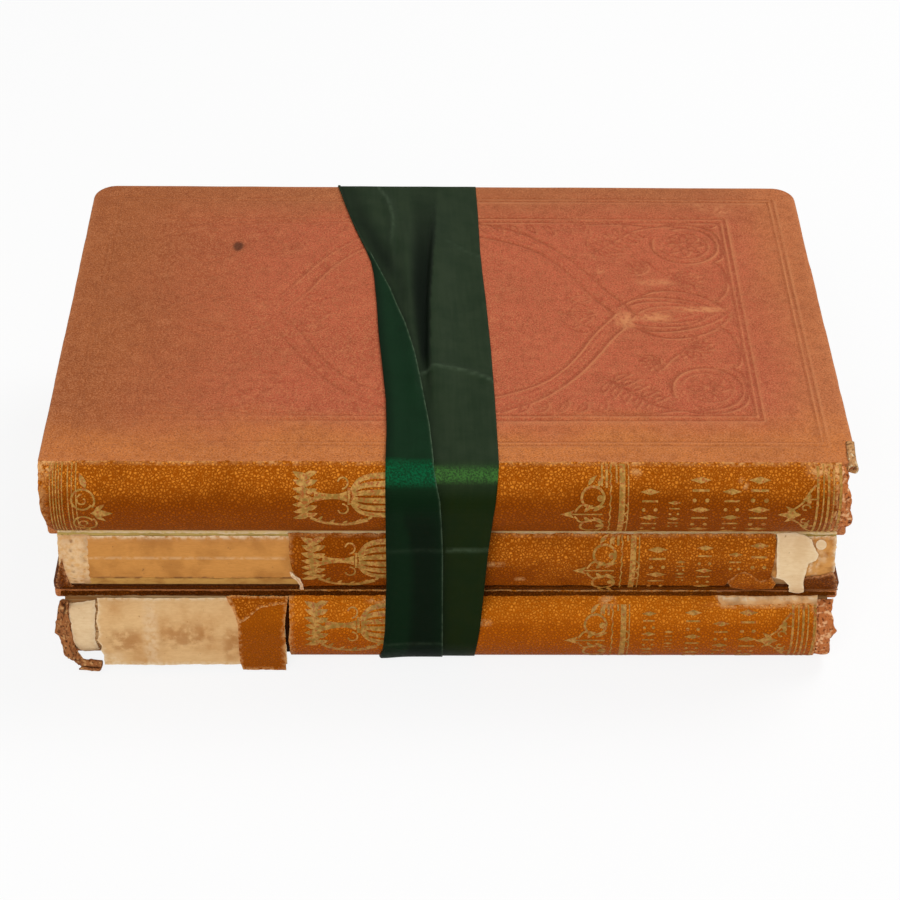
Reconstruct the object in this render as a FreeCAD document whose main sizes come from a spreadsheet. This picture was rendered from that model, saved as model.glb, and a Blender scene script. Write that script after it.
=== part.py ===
"""Three old cloth-bound books, lying in a stack and tied with one wide satin ribbon.

X runs along the books from tail to head, Y from the spines to the fore-edges, and Z is up.
The origin is on the surface that the stack rests on, below the middle of its box.
Each book is a case binding: two boards in one covering cloth, a rounded text block, and
endpapers that hinge them together. They lie face down, so each back cover is uppermost.
The upper book is whole. The middle one has lost a third of its spine cloth and both its
joints are split. The lower one has lost cloth at its tail, and a tongue of cloth
and a length of spine paper hang down in front of it.
"""

import FreeCAD, Part
import math
import os
import Sketcher

SIZES = (
    ("board_height", 240.0, "cover boards, along X"),
    ("board_width", 150.0, "cover boards, from joint to fore-edge"),
    ("board_thick", 2.4, "millboard"),
    ("cloth_thick", 0.5, "covering cloth"),
    ("corner_round", 7.0, "worn fore-edge corners of the boards"),
    ("joint_gap", 1.8, "from the line of the joint to the board"),
    ("turn_in", 14.0, "cloth folded over the inside of a board"),
    ("square_margin", 3.2, "how far the covers stand past the pages"),
    ("leaf_thick", 0.25, "free leaf of an endpaper"),
    ("spine_round", 8.5, "how far the outer books' spines stand out from their joints"),
    ("middle_round", 4.5, "the same for the middle book, whose spine has sunk"),
    ("paste_gap", 0.15, "between the spine cloth and its paper"),
    ("inlay_thick", 0.4, "paper strip inside the spine cloth"),
    ("hollow_gap", 0.35, "air between the spine paper and the lined back"),
    ("lining_thick", 0.4, "paper glued to the backs of the pages"),
    ("fore_hollow", 3.5, "depth of the hollow in the fore-edge"),
    ("upper_thick", 26.0, "upper book over its covers"),
    ("middle_thick", 24.5, "middle book over its covers"),
    ("lower_thick", 26.5, "lower book over its covers"),
    ("middle_forward", 0.4, "how far the middle book stands forward"),
    ("joint_lip", 2.8, "height of the cloth left along a torn joint"),
    ("tear_gap", 1.3, "open split between the torn cloth and that lip"),
    ("head_loss", 4.2, "cloth worn off the head of the upper spine, at its upper joint"),
    ("tear_length", 31.0, "split along the lower book's upper joint"),
    ("tab_left", -64.0, "left edge of the hanging tongue of cloth"),
    ("tab_right", -48.8, "right edge of the hanging tongue of cloth"),
    ("paper_left", -107.0, "left edge of the bared spine paper"),
    ("middle_tear_left", -47.0, "where the middle spine cloth begins"),
    ("middle_tear_right", 98.0, "where the middle spine cloth ends"),
    ("rule_width", 0.9, "one pressed line on the cover"),
    ("rule_depth", 0.25, "depth of a pressed line"),
    ("outer_frame", 9.0, "from the board edge to the outer pair of lines"),
    ("inner_frame", 26.0, "from the head edge to the inner pair of lines"),
    ("inner_frame_side", 19.5, "from the fore-edge to the inner pair of lines"),
    ("pair_gap", 1.6, "pitch of the two lines of a pair"),
    ("strap_reach", 56.0, "half-length of the pressed centre oval"),
    ("strap_rise", 50.0, "half-height of the pressed centre oval"),
    ("strap_width", 5.0, "width of the band that bounds the oval"),
    ("almond_length", 29.0, "pressed almond at each end of the oval"),
    ("almond_height", 11.0, "height of that almond"),
    ("chip_length", 10.5, "bumped corner at the head, along Y"),
    ("chip_reach", 3.4, "bumped corner at the head, along X"),
    ("chip_depth", 1.3, "layers of board lost from that corner"),
    ("ribbon_width", 48.0, "full width of the ribbon"),
    ("ribbon_thick", 0.4, "ribbon, with the fullness of the weave"),
    ("ribbon_left", -37.0, "left edge of the ribbon behind the books"),
    ("ribbon_fold_left", -19.4, "folded left edge at the front of the cover"),
    ("ribbon_fold", 15.0, "width folded over there"),
    ("ribbon_foot_left", -20.5, "folded left edge at the foot of the spines"),
    ("ribbon_foot_fold", 18.4, "width folded over at the foot"),
    ("fold_start", 31.0, "from the fore-edge to where the fold begins"),
)

BOOKS = ("upper", "middle", "lower")
PARTS_FOLDER = "parts"

doc = FreeCAD.newDocument("TiedBooks")
sheet = doc.addObject("Spreadsheet::Sheet", "Sizes")
for row, (alias, value, meaning) in enumerate(SIZES, start=1):
    sheet.set(f"A{row}", meaning)
    sheet.set(f"B{row}", str(value))
    sheet.setAlias(f"B{row}", alias)
doc.recompute()

# Lengths that several pieces share, as expressions of the sheet.
COVER = "(Sizes.board_thick + 2*Sizes.cloth_thick)"
HALF_HEIGHT = "(Sizes.board_height/2 + Sizes.cloth_thick)"
COVER_EDGE = "(Sizes.joint_gap + Sizes.board_width + Sizes.cloth_thick)"
PAGE_EDGE = f"({COVER_EDGE} - Sizes.square_margin)"
PAGE_HEIGHT = f"(2*{HALF_HEIGHT} - 2*Sizes.square_margin)"
INLAY_DEPTH = "(Sizes.cloth_thick + Sizes.paste_gap)"
LINING_DEPTH = f"({INLAY_DEPTH} + Sizes.inlay_thick + Sizes.hollow_gap)"
PAGES_DEPTH = f"({LINING_DEPTH} + Sizes.lining_thick)"
RIBBON_FRONT = "max(Sizes.spine_round; Sizes.middle_round + Sizes.middle_forward)"
STACK_HEIGHT = "(Sizes.ribbon_thick + Sizes.lower_thick + Sizes.middle_thick + Sizes.upper_thick)"
STACK_Y = f"(({RIBBON_FRONT} + 2*Sizes.ribbon_thick - {COVER_EDGE} - Sizes.ribbon_thick)/2)"
LEVEL = {
    "lower": "Sizes.ribbon_thick",
    "middle": "(Sizes.ribbon_thick + Sizes.lower_thick)",
    "upper": "(Sizes.ribbon_thick + Sizes.lower_thick + Sizes.middle_thick)",
}
FORWARD = {"lower": "0", "middle": "Sizes.middle_forward", "upper": "0"}
ROUND = {"lower": "Sizes.spine_round", "middle": "Sizes.middle_round", "upper": "Sizes.spine_round"}


def number(text):
    """The value of an expression of the sheet."""
    return float(sheet.evalExpression(text))


def arc_points(start, end, radius, side):
    """Start and end angles and centre of the short arc that bulges to one side of start-end."""
    chord = end - start
    half = chord.Length / 2
    normal = FreeCAD.Vector(-chord.y, chord.x, 0).normalize()
    to_centre = math.sqrt(max(radius**2 - half**2, 0.0))
    centre = (start + end) / 2 + normal * (to_centre if side == "right" else -to_centre)
    first, last = (start, end) if side == "right" else (end, start)
    begin = math.atan2(first.y - centre.y, first.x - centre.x)
    finish = math.atan2(last.y - centre.y, last.x - centre.x)
    return centre, begin, finish if finish > begin else finish + 2 * math.pi


def pin(sketch, edge, vertex, direction, text, name):
    """Holds one coordinate of a vertex at an expression, measured from the sketch's origin."""
    if abs(number(text)) < 1e-9:
        axis = -2 if direction == "DistanceX" else -1
        sketch.addConstraint(Sketcher.Constraint("PointOnObject", edge, vertex, axis))
        return
    value = number(text)
    index = sketch.addConstraint(Sketcher.Constraint(direction, -1, 1, edge, vertex, value))
    sketch.renameConstraint(index, name)
    sketch.setExpression(f"Constraints.{name}", text)


def draw(sketch, outline, tag):
    """Adds a closed outline. Each point is (across, up), or (across, up, side, radius) where the
    edge that leaves it is an arc which bulges to that side."""
    spots = [FreeCAD.Vector(number(p[0]), number(p[1]), 0) for p in outline]
    leaving, arriving = [], []
    for i, point in enumerate(outline):
        start, end = spots[i], spots[(i + 1) % len(spots)]
        if len(point) == 2:
            edge = sketch.addGeometry(Part.LineSegment(start, end), False)
            leaving.append((edge, 1))
            arriving.append((edge, 2))
            continue
        side, radius = point[2], point[3]
        centre, begin, finish = arc_points(start, end, number(radius), side)
        circle = Part.Circle(centre, FreeCAD.Vector(0, 0, 1), number(radius))
        edge = sketch.addGeometry(Part.ArcOfCircle(circle, begin, finish), False)
        leaving.append((edge, 1 if side == "right" else 2))
        arriving.append((edge, 2 if side == "right" else 1))
        index = sketch.addConstraint(Sketcher.Constraint("Radius", edge, number(radius)))
        sketch.renameConstraint(index, f"{tag}_radius_{i}")
        sketch.setExpression(f"Constraints.{tag}_radius_{i}", radius)
    for i, point in enumerate(outline):
        edge, vertex = leaving[i]
        last_edge, last_vertex = arriving[i - 1]
        joined = Sketcher.Constraint("Coincident", last_edge, last_vertex, edge, vertex)
        sketch.addConstraint(joined)
        pin(sketch, edge, vertex, "DistanceX", point[0], f"{tag}_across_{i}")
        pin(sketch, edge, vertex, "DistanceY", point[1], f"{tag}_up_{i}")


def pad(body, name, plane, outlines, length, both_ways=True):
    """Pads closed outlines, drawn on one of the body's own planes, by a length."""
    sketch = body.newObject("Sketcher::SketchObject", f"{name}_sketch")
    origin_plane = next(f for f in body.Origin.OriginFeatures if f.Role == plane)
    sketch.AttachmentSupport = [(origin_plane, "")]
    sketch.MapMode = "FlatFace"
    for i, outline in enumerate(outlines):
        draw(sketch, outline, f"loop{i}")
    feature = body.newObject("PartDesign::Pad", f"{name}_pad")
    feature.Profile = sketch
    feature.Length = number(length)
    feature.setExpression("Length", length)
    if both_ways:
        feature.SideType = "Symmetric"
    sketch.Visibility = False
    return feature


def make_body(name, x="0", y=STACK_Y, z="0"):
    """An empty body, placed by expressions."""
    body = doc.addObject("PartDesign::Body", name)
    body.Label = name
    for direction, text in (("x", x), ("y", y), ("z", z)):
        body.setExpression(f"Placement.Base.{direction}", text)
    return body


def book_y(book):
    """Where a book's joint lies in the stack."""
    return f"({STACK_Y} - {FORWARD[book]})"


def prism(name, plane, outlines, length, x="0", y=STACK_Y, z="0", both_ways=True):
    """A body of one pad."""
    body = make_body(name, x, y, z)
    pad(body, name, plane, outlines, length, both_ways)
    return body


def boolean(kind, name, base, *others):
    """A Part boolean: Cut or Common of one base and one tool, or a MultiFuse of several."""
    feature = doc.addObject(f"Part::{kind}", name)
    feature.Label = name
    if kind == "MultiFuse":
        feature.Shapes = [base, *others]
        feature.Refine = True
    else:
        feature.Base = base
        feature.Tool = others[0]
    return feature


# Outlines

def plate(half_height, near, far, radius):
    """A plate seen from above, square at the spine and round at its two fore-edge corners."""
    return [
        (f"-({half_height})", near),
        (half_height, near),
        (half_height, f"{far} - {radius}", "right", radius),
        (f"{half_height} - {radius}", far),
        (f"-({half_height}) + {radius}", far, "right", radius),
        (f"-({half_height})", f"{far} - {radius}"),
    ]


def oblong(left, right, low, high):
    """A rectangle between four expressions."""
    return [(left, low), (right, low), (right, high), (left, high)]


def arc_radius(chord, sagitta):
    """Radius of an arc from its chord and how far it bows."""
    return f"((({chord})^2/4 + ({sagitta})^2)/(2*({sagitta})))"


def spine_radius(book):
    """Outer radius of a spine, from its chord between the joints and how far it stands out."""
    return arc_radius(f"Sizes.{book}_thick", ROUND[book])


def half_chord(book, depth, end="0"):
    """Half the height, at Y = end, of the circle that lies at a depth below the spine's outside."""
    radius = spine_radius(book)
    return f"sqrt(({radius} - {depth})^2 - ({radius} - {ROUND[book]} - ({end}))^2)"


def crescent(book, outer_depth, inner_depth, end="0"):
    """Section of one rounded layer of a spine, from depth to depth."""
    middle = f"Sizes.{book}_thick/2"
    outer, inner = half_chord(book, outer_depth, end), half_chord(book, inner_depth, end)
    radius = spine_radius(book)
    return [
        (end, f"{middle} + {outer}", "right", f"{radius} - {outer_depth}"),
        (end, f"{middle} - {outer}"),
        (end, f"{middle} - {inner}", "left", f"{radius} - {inner_depth}"),
        (end, f"{middle} + {inner}"),
    ]


def hanging(book, outer_depth, inner_depth, foot, end="0"):
    """Section of a layer that follows the upper half of a spine and then hangs straight down."""
    middle = f"Sizes.{book}_thick/2"
    outer, inner = half_chord(book, outer_depth, end), half_chord(book, inner_depth, end)
    radius = spine_radius(book)
    outer_face = f"-({ROUND[book]}) + {outer_depth}"
    inner_face = f"-({ROUND[book]}) + {inner_depth}"
    return [
        (end, f"{middle} + {outer}", "right", f"{radius} - {outer_depth}"),
        (outer_face, middle),
        (outer_face, foot),
        (inner_face, foot),
        (inner_face, middle, "left", f"{radius} - {inner_depth}"),
        (end, f"{middle} + {inner}"),
    ]


# Pieces that every book has

def text_block(book):
    """All the pages as one solid, rounded at the back and hollow at the fore-edge."""
    thick = f"Sizes.{book}_thick"
    low = f"({COVER} + Sizes.leaf_thick)"
    high = f"({thick} - {low})"
    shoulder = half_chord(book, PAGES_DEPTH)
    hollow = f"((({high} - {low})^2/4 + Sizes.fore_hollow^2)/(2*Sizes.fore_hollow))"
    back_radius = f"({spine_radius(book)} - {PAGES_DEPTH})"
    start = "Sizes.joint_gap*0.8"
    outline = [
        (start, low),
        (PAGE_EDGE, low, "left", hollow),
        (PAGE_EDGE, high),
        (start, high),
        ("0", f"{thick}/2 + {shoulder}", "right", back_radius),
        ("0", f"{thick}/2 - {shoulder}"),
    ]
    return prism(
        f"{book}_text_block", "YZ_Plane", [outline], PAGE_HEIGHT, y=book_y(book), z=LEVEL[book]
    )


def cover_base(book, side, depth):
    """Height of the underside of a layer that ends at a depth inside a cover."""
    if side == "front":
        return f"({LEVEL[book]} + {depth})"
    return f"({LEVEL[book]} + Sizes.{book}_thick - {depth})"


def board(book, side):
    """One millboard."""
    far = "(Sizes.joint_gap + Sizes.board_width)"
    outline = plate("Sizes.board_height/2", "Sizes.joint_gap", far, "Sizes.corner_round")
    depth = "Sizes.cloth_thick" if side == "front" else "(Sizes.cloth_thick + Sizes.board_thick)"
    base = cover_base(book, side, depth)
    return prism(
        f"{book}_{side}_board", "XY_Plane", [outline], "Sizes.board_thick",
        y=book_y(book), z=base, both_ways=False,
    )


def cover_skin(book, side, near="0"):
    """Cloth round one board, with its edges folded over the inside of the board."""
    name = f"{book}_{side}_skin"
    far = "(Sizes.joint_gap + Sizes.board_width)"
    open_side = f"{near} - Sizes.joint_gap"
    inside = "(Sizes.board_thick + Sizes.cloth_thick)"
    outer = prism(
        f"{name}_outer", "XY_Plane",
        [plate(HALF_HEIGHT, near, COVER_EDGE, "(Sizes.corner_round + Sizes.cloth_thick)")],
        COVER, y=book_y(book), both_ways=False,
        z=cover_base(book, side, "0" if side == "front" else COVER),
    )
    board_space = prism(
        f"{name}_board_space", "XY_Plane",
        [plate("Sizes.board_height/2", open_side, far, "Sizes.corner_round")],
        "Sizes.board_thick", y=book_y(book), both_ways=False,
        z=cover_base(book, side, "Sizes.cloth_thick" if side == "front" else inside),
    )
    across, along = "(Sizes.board_height/2 - Sizes.turn_in)", "(Sizes.board_height/2 + Sizes.turn_in)"
    window = prism(
        f"{name}_window", "XY_Plane",
        [[(f"-{along}", open_side), (along, open_side), (along, "Sizes.joint_gap"),
          (across, "Sizes.joint_gap"), (across, f"{far} - Sizes.turn_in"),
          (f"-{across}", f"{far} - Sizes.turn_in"), (f"-{across}", "Sizes.joint_gap"),
          (f"-{along}", "Sizes.joint_gap")]],
        "Sizes.cloth_thick", y=book_y(book), both_ways=False,
        z=cover_base(book, side, inside if side == "front" else COVER),
    )
    hollowed = boolean("Cut", f"{name}_hollowed", outer, board_space)
    return boolean("Cut", name, hollowed, window)


def endpaper(book, side):
    """One folded sheet: a leaf on the pages, and a leaf pasted to the board inside the cloth."""
    thick = f"Sizes.{book}_thick"
    far = "(Sizes.joint_gap + Sizes.board_width - Sizes.turn_in)"
    pasted_low, pasted_high = "(Sizes.board_thick + Sizes.cloth_thick)", COVER
    leaf_low, leaf_high = COVER, f"({COVER} + Sizes.leaf_thick)"
    if side == "back":
        pasted_low, pasted_high = f"({thick} - {pasted_high})", f"({thick} - {pasted_low})"
        leaf_low, leaf_high = f"({thick} - {leaf_high})", f"({thick} - {leaf_low})"
    body = make_body(f"{book}_{side}_endpaper", y=book_y(book), z=LEVEL[book])
    leaf = oblong("Sizes.joint_gap", PAGE_EDGE, leaf_low, leaf_high)
    if book == "middle" and side == "back":
        leaf = bared_hinge(thick, leaf_low)
    pad(body, f"{book}_{side}_leaf", "YZ_Plane", [leaf], PAGE_HEIGHT)
    pasted = oblong("Sizes.joint_gap", far, pasted_low, pasted_high)
    pad(body, f"{book}_{side}_pasted", "YZ_Plane", [pasted], "Sizes.board_height - 2*Sizes.turn_in")
    return body


def bared_hinge(thick, leaf_low):
    """Leaf of the middle book's back endpaper, whose hinge shows where the joint is split."""
    shoulder = f"({thick}/2 + {half_chord('middle', PAGES_DEPTH)})"
    lining = f"({thick}/2 + {half_chord('middle', LINING_DEPTH)})"
    start = "Sizes.joint_gap*0.8"
    return [
        ("Sizes.joint_gap", leaf_low),
        (PAGE_EDGE, leaf_low),
        (PAGE_EDGE, f"{leaf_low} + Sizes.leaf_thick"),
        ("Sizes.joint_gap", f"{leaf_low} + Sizes.leaf_thick"),
        ("Sizes.joint_gap", f"{thick} - Sizes.cloth_thick"),
        (start, f"{thick} - Sizes.cloth_thick"),
        ("0", lining),
        ("0", shoulder),
        (start, leaf_low),
    ]


def layer(name, book, outer_depth, inner_depth, length, end="0", x="0"):
    """A rounded layer of a spine."""
    outline = crescent(book, outer_depth, inner_depth, end)
    return prism(name, "YZ_Plane", [outline], length, x=x, y=book_y(book), z=LEVEL[book])


def spine_lining(book, left="0"):
    """Paper glued over the backs of the pages. It may begin short of the tail."""
    length = PAGE_HEIGHT if left == "0" else f"({PAGE_HEIGHT}/2 - ({left}))"
    middle = "0" if left == "0" else f"(({PAGE_HEIGHT}/2 + {left})/2)"
    return layer(f"{book}_spine_lining", book, LINING_DEPTH, PAGES_DEPTH, length, x=middle)


def spine_cloth(name, book):
    """Cloth over the whole length of a spine."""
    return layer(name, book, "0", "Sizes.cloth_thick", f"2*{HALF_HEIGHT}")


def torn(name, piece, book, outline):
    """What is left of a spine layer inside an outline seen from the front."""
    reach = f"4*Sizes.{book}_thick"
    window = prism(
        f"{name}_tear", "XZ_Plane", [outline], reach, y=book_y(book), z=LEVEL[book]
    )
    return boolean("Common", name, piece, window)


# The upper book

def pressed_lines():
    """Lines sunk in the upper cover: two pairs of frame lines, an oval band, almonds, scrolls."""
    thick = "Sizes.upper_thick"
    centre = "(Sizes.joint_gap + Sizes.board_width/2)"
    far = "(Sizes.joint_gap + Sizes.board_width)"
    loops = []

    def ring(outline_at):
        """A line as the space between one outline and the same outline a line's width inside."""
        loops.append(outline_at("0"))
        loops.append(outline_at("Sizes.rule_width"))

    def frame(margin_head, margin_side):
        """A rectangular line at given distances from the board's edges."""
        half = f"Sizes.board_height/2 - {margin_head}"
        ring(lambda inset: oblong(
            f"-({half} - {inset})", f"{half} - {inset}",
            f"{margin_side} + Sizes.joint_gap + {inset}", f"{far} - {margin_side} - {inset}"))

    def almond(middle, length, height):
        """A pointed oval line between two arcs, whose length lies along X."""
        def outline_at(inset):
            """Both arcs, drawn in from the outer ones by an inset."""
            half_length = f"({length}/2 - 2*{inset})"
            rise = f"({height}/2 - {inset})"
            radius = f"(({half_length}^2 + {rise}^2)/(2*{rise}))"
            return [
                (f"{middle} - {half_length}", centre, "right", radius),
                (f"{middle} + {half_length}", centre, "right", radius),
            ]
        ring(outline_at)

    frame("Sizes.outer_frame", "Sizes.outer_frame")
    frame("(Sizes.outer_frame + Sizes.pair_gap)", "(Sizes.outer_frame + Sizes.pair_gap)")
    frame("Sizes.inner_frame", "Sizes.inner_frame_side")
    almond("0", "2*Sizes.strap_reach", "2*Sizes.strap_rise")
    almond("0", "2*(Sizes.strap_reach - Sizes.strap_width)", "2*(Sizes.strap_rise - Sizes.strap_width)")
    offset = "(Sizes.strap_reach + Sizes.almond_length/2 + Sizes.rule_width)"
    for sign in ("", "-"):
        almond(f"{sign}{offset}", "Sizes.almond_length", "Sizes.almond_height")
    return prism(
        "pressed_lines", "XY_Plane", loops, "2*Sizes.rule_depth", y=book_y("upper"),
        z=f"({LEVEL['upper']} + {thick})",
    )


def bumped_corner():
    """Space left where the head corner by the spine was knocked and its top layers came away."""
    edge = f"({HALF_HEIGHT} - Sizes.chip_reach)"
    outline = [
        (edge, "-(Sizes.cloth_thick)"),
        (f"{HALF_HEIGHT} + 1", "-(Sizes.cloth_thick)"),
        (f"{HALF_HEIGHT} + 1", "Sizes.chip_length"),
        (f"{HALF_HEIGHT} - 0.25*Sizes.chip_reach", "Sizes.chip_length"),
        (f"{HALF_HEIGHT} - 0.4*Sizes.chip_reach", "0.78*Sizes.chip_length"),
        (f"{HALF_HEIGHT} - 0.8*Sizes.chip_reach", "0.6*Sizes.chip_length"),
        (f"{HALF_HEIGHT} - 0.65*Sizes.chip_reach", "0.3*Sizes.chip_length"),
    ]
    top = f"({LEVEL['upper']} + Sizes.upper_thick - Sizes.chip_depth)"
    return prism(
        "bumped_corner", "XY_Plane", [outline], "2*Sizes.chip_depth", y=book_y("upper"), z=top,
        both_ways=False,
    )


def upper_cover_cloth(chip):
    """One piece of cloth over both boards and the spine, folded in at the ends of the spine."""
    back, front = cover_skin("upper", "back"), cover_skin("upper", "front")
    strip = spine_cloth("upper_spine_strip", "upper")
    folded_ends = [
        layer(f"upper_{end}_fold", "upper", "Sizes.cloth_thick", "2*Sizes.cloth_thick",
              "Sizes.turn_in", end="-(Sizes.cloth_thick)",
              x=f"{sign}({HALF_HEIGHT} - Sizes.turn_in/2)")
        for end, sign in (("head", ""), ("tail", "-"))
    ]
    high, low = "(Sizes.upper_thick + Sizes.cloth_thick)", "-(Sizes.cloth_thick)"
    left, right = f"-({HALF_HEIGHT})", HALF_HEIGHT
    outline = [
        (f"{left} + 0.4*Sizes.head_loss", low),
        (f"{right} - 0.3*Sizes.head_loss", low),
        (f"{right} - 0.4*Sizes.head_loss", "0.35*Sizes.upper_thick"),
        (f"{right} - 0.6*Sizes.head_loss", "0.5*Sizes.upper_thick"),
        (f"{right} - 0.6*Sizes.head_loss", "0.75*Sizes.upper_thick"),
        (f"{right} - Sizes.head_loss", high),
        (left, high),
        (left, "0.3*Sizes.upper_thick"),
    ]
    whole = boolean("MultiFuse", "upper_spine_whole", strip, *folded_ends)
    spine = torn("upper_spine_worn", whole, "upper", outline)
    plain = boolean("MultiFuse", "upper_cover_plain", back, front, spine)
    pressed = boolean("Cut", "upper_cover_pressed", plain, pressed_lines())
    return boolean("Cut", "upper_cover_cloth", pressed, chip)


def upper_spine_inlay():
    """Paper strip glued inside the spine cloth, between its folded ends."""
    return layer(
        "upper_spine_inlay", "upper", INLAY_DEPTH, f"({INLAY_DEPTH} + Sizes.inlay_thick)",
        f"2*({HALF_HEIGHT} - Sizes.turn_in)", end="-(Sizes.cloth_thick)",
    )


# The middle book

def middle_front_cloth():
    """Cloth of the front cover, with the lip and the tail scrap left where the spine tore away."""
    skin = cover_skin("middle", "front")
    strip = spine_cloth("middle_lip_strip", "middle")
    left, right = f"-({HALF_HEIGHT})", HALF_HEIGHT
    lip = "Sizes.joint_lip"
    outline = [
        (left, "-(Sizes.cloth_thick)"),
        (right, "-(Sizes.cloth_thick)"),
        (right, f"{lip}*2.2"),
        (f"{right} - 2.5", f"{lip}*1.1"),
        (f"{right} - 20", lip),
        (f"{left} + 8", f"{lip}*0.9"),
        (f"{left} + 3.4", f"{lip}*1.2"),
        (f"{left} + 2.6", f"{lip}*3"),
        (f"{left} + 0.8", f"{lip}*5"),
        (left, f"{lip}*5"),
    ]
    return boolean("MultiFuse", "middle_front_cloth", skin, torn("middle_lip", strip, "middle", outline))


def middle_spine_cloth():
    """The part of the spine cloth that is left, torn along both joints and across both ends."""
    low = "(Sizes.joint_lip + Sizes.tear_gap)"
    high = "(Sizes.middle_thick - Sizes.tear_gap)"
    left, right = "Sizes.middle_tear_left", "Sizes.middle_tear_right"
    outline = [
        (f"{left} + 4", f"{low} - 0.6"),
        (f"{left} + 9", low),
        (f"{right} - 32", low),
        (f"{right} - 30", f"{low} - 0.9"),
        (f"{right} - 12", f"{low} - 0.7"),
        (f"{right} - 10", f"{low} + 1.8"),
        (right, f"{low} + 3"),
        (f"{right} + 0.4", high),
        (left, high),
        (f"{left} + 0.7", f"{low} + 9"),
        (f"{left} + 1.6", f"{low} + 3.4"),
    ]
    strip = spine_cloth("middle_spine_strip", "middle")
    return torn("middle_spine_cloth", strip, "middle", outline)


def middle_spine_inlay():
    """Spine paper under that cloth. It shows past the cloth's right end, and is torn there too."""
    low = "(Sizes.joint_lip + Sizes.tear_gap)"
    high = "(Sizes.middle_thick - Sizes.tear_gap)"
    left, right = "Sizes.middle_tear_left", "Sizes.middle_tear_right"
    outline = [
        (f"{left} + 6", f"{low} + 0.8"),
        (f"{right} + 4", f"{low} + 0.8"),
        (f"{right} + 9", f"{low} - 1"),
        (f"{right} + 12", f"{low} - 1"),
        (f"{right} + 13", f"{low} + 4"),
        (f"{right} + 14", f"{low} + 7.5"),
        (f"{right} + 17.5", f"{low} + 10"),
        (f"{right} + 16.5", f"{high} - 1"),
        (f"{right} + 15", high),
        (f"{left} + 6", high),
    ]
    strip = layer(
        "middle_inlay_strip", "middle", INLAY_DEPTH, f"({INLAY_DEPTH} + Sizes.inlay_thick)",
        f"2*{HALF_HEIGHT}", end="-(Sizes.cloth_thick)",
    )
    return torn("middle_spine_inlay", strip, "middle", outline)


# The lower book

def lower_cover_cloth():
    """Cloth of the lower book: both covers, what is left of its spine, and the hanging tongue."""
    back, front = cover_skin("lower", "back"), cover_skin("lower", "front")
    strip = spine_cloth("lower_spine_strip", "lower")
    high = "(Sizes.lower_thick + Sizes.cloth_thick)"
    low = "-(Sizes.cloth_thick)"
    left, right = f"-({HALF_HEIGHT})", HALF_HEIGHT
    split = "(Sizes.lower_thick - Sizes.tear_gap)"
    main = torn("lower_spine_main", strip, "lower", [
        ("Sizes.tab_right", low),
        (right, low),
        (right, high),
        (f"{right} - 7", high),
        (f"{right} - 7.6", split),
        (f"{right} - 7 - Sizes.tear_length", split),
        (f"{right} - 8 - Sizes.tear_length", high),
        ("Sizes.tab_right", high),
    ])
    tail = torn("lower_tail_scrap", strip, "lower", [
        (left, low),
        (f"{left} + 12", low),
        (f"{left} + 13", "Sizes.joint_lip"),
        (f"{left} + 7", "Sizes.joint_lip*1.3"),
        (f"{left} + 3.6", "Sizes.lower_thick*0.4"),
        (f"{left} + 3", "Sizes.lower_thick*0.62"),
        (f"{left} + 6", f"Sizes.lower_thick - {'Sizes.joint_lip'}"),
        (f"{left} + 5", high),
        (left, high),
    ])
    tongue = prism(
        "lower_tongue", "YZ_Plane",
        [hanging("lower", "0", "Sizes.cloth_thick", "-(Sizes.ribbon_thick)/2")],
        "Sizes.tab_right - Sizes.tab_left", x="(Sizes.tab_right + Sizes.tab_left)/2",
        y=book_y("lower"), z=LEVEL["lower"],
    )
    return boolean("MultiFuse", "lower_cover_cloth", back, front, main, tail, tongue)


def lower_spine_inlay():
    """Spine paper. Past the tongue it has come away and hangs straight down."""
    inner = f"({INLAY_DEPTH} + Sizes.inlay_thick)"
    end = "-(Sizes.cloth_thick)"
    seam = "Sizes.tab_right"
    outline = crescent("lower", INLAY_DEPTH, inner, end)
    held = prism(
        "lower_inlay_held", "YZ_Plane", [outline], f"({HALF_HEIGHT} - Sizes.turn_in/2 - {seam})",
        x=f"(({HALF_HEIGHT} - Sizes.turn_in/2 + {seam})/2)", y=book_y("lower"), z=LEVEL["lower"],
    )
    loose = prism(
        "lower_inlay_loose", "YZ_Plane",
        [hanging("lower", INLAY_DEPTH, inner, "-(Sizes.ribbon_thick)/4", end)],
        f"({seam} - Sizes.paper_left)", x=f"(({seam} + Sizes.paper_left)/2)",
        y=book_y("lower"), z=LEVEL["lower"],
    )
    return boolean("MultiFuse", "lower_spine_inlay", held, loose)


# The ribbon

def ribbon():
    """One closed band, drawn tight round the stack and folded over along its left side."""
    upper_turn = arc_radius("Sizes.upper_thick", RIBBON_FRONT)
    lower_turn = arc_radius("Sizes.lower_thick", RIBBON_FRONT)
    front = f"-({RIBBON_FRONT})"
    loop = [
        (COVER_EDGE, "Sizes.ribbon_thick"),
        (COVER_EDGE, STACK_HEIGHT),
        ("0", STACK_HEIGHT, "right", upper_turn),
        (front, f"{STACK_HEIGHT} - Sizes.upper_thick/2"),
        (front, "Sizes.ribbon_thick + Sizes.lower_thick/2", "right", lower_turn),
        ("0", "Sizes.ribbon_thick"),
    ]
    core = prism("ribbon_core", "YZ_Plane", [loop], "3*Sizes.ribbon_width")
    layers = []
    for count in (1, 2):
        grown = doc.addObject("Part::Offset", f"ribbon_grown_{count}")
        grown.Source = core
        grown.setExpression("Value", f"{count}*Sizes.ribbon_thick")
        layers.append(grown)
    band = boolean("Cut", "ribbon_band", layers[0], core)
    over = boolean("Cut", "ribbon_over", layers[1], layers[0])
    single = boolean("Common", "ribbon_single", band, ribbon_outline())
    folded = boolean("Common", "ribbon_folded", over, fold_outline())
    return boolean("MultiFuse", "ribbon", single, folded)


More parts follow.
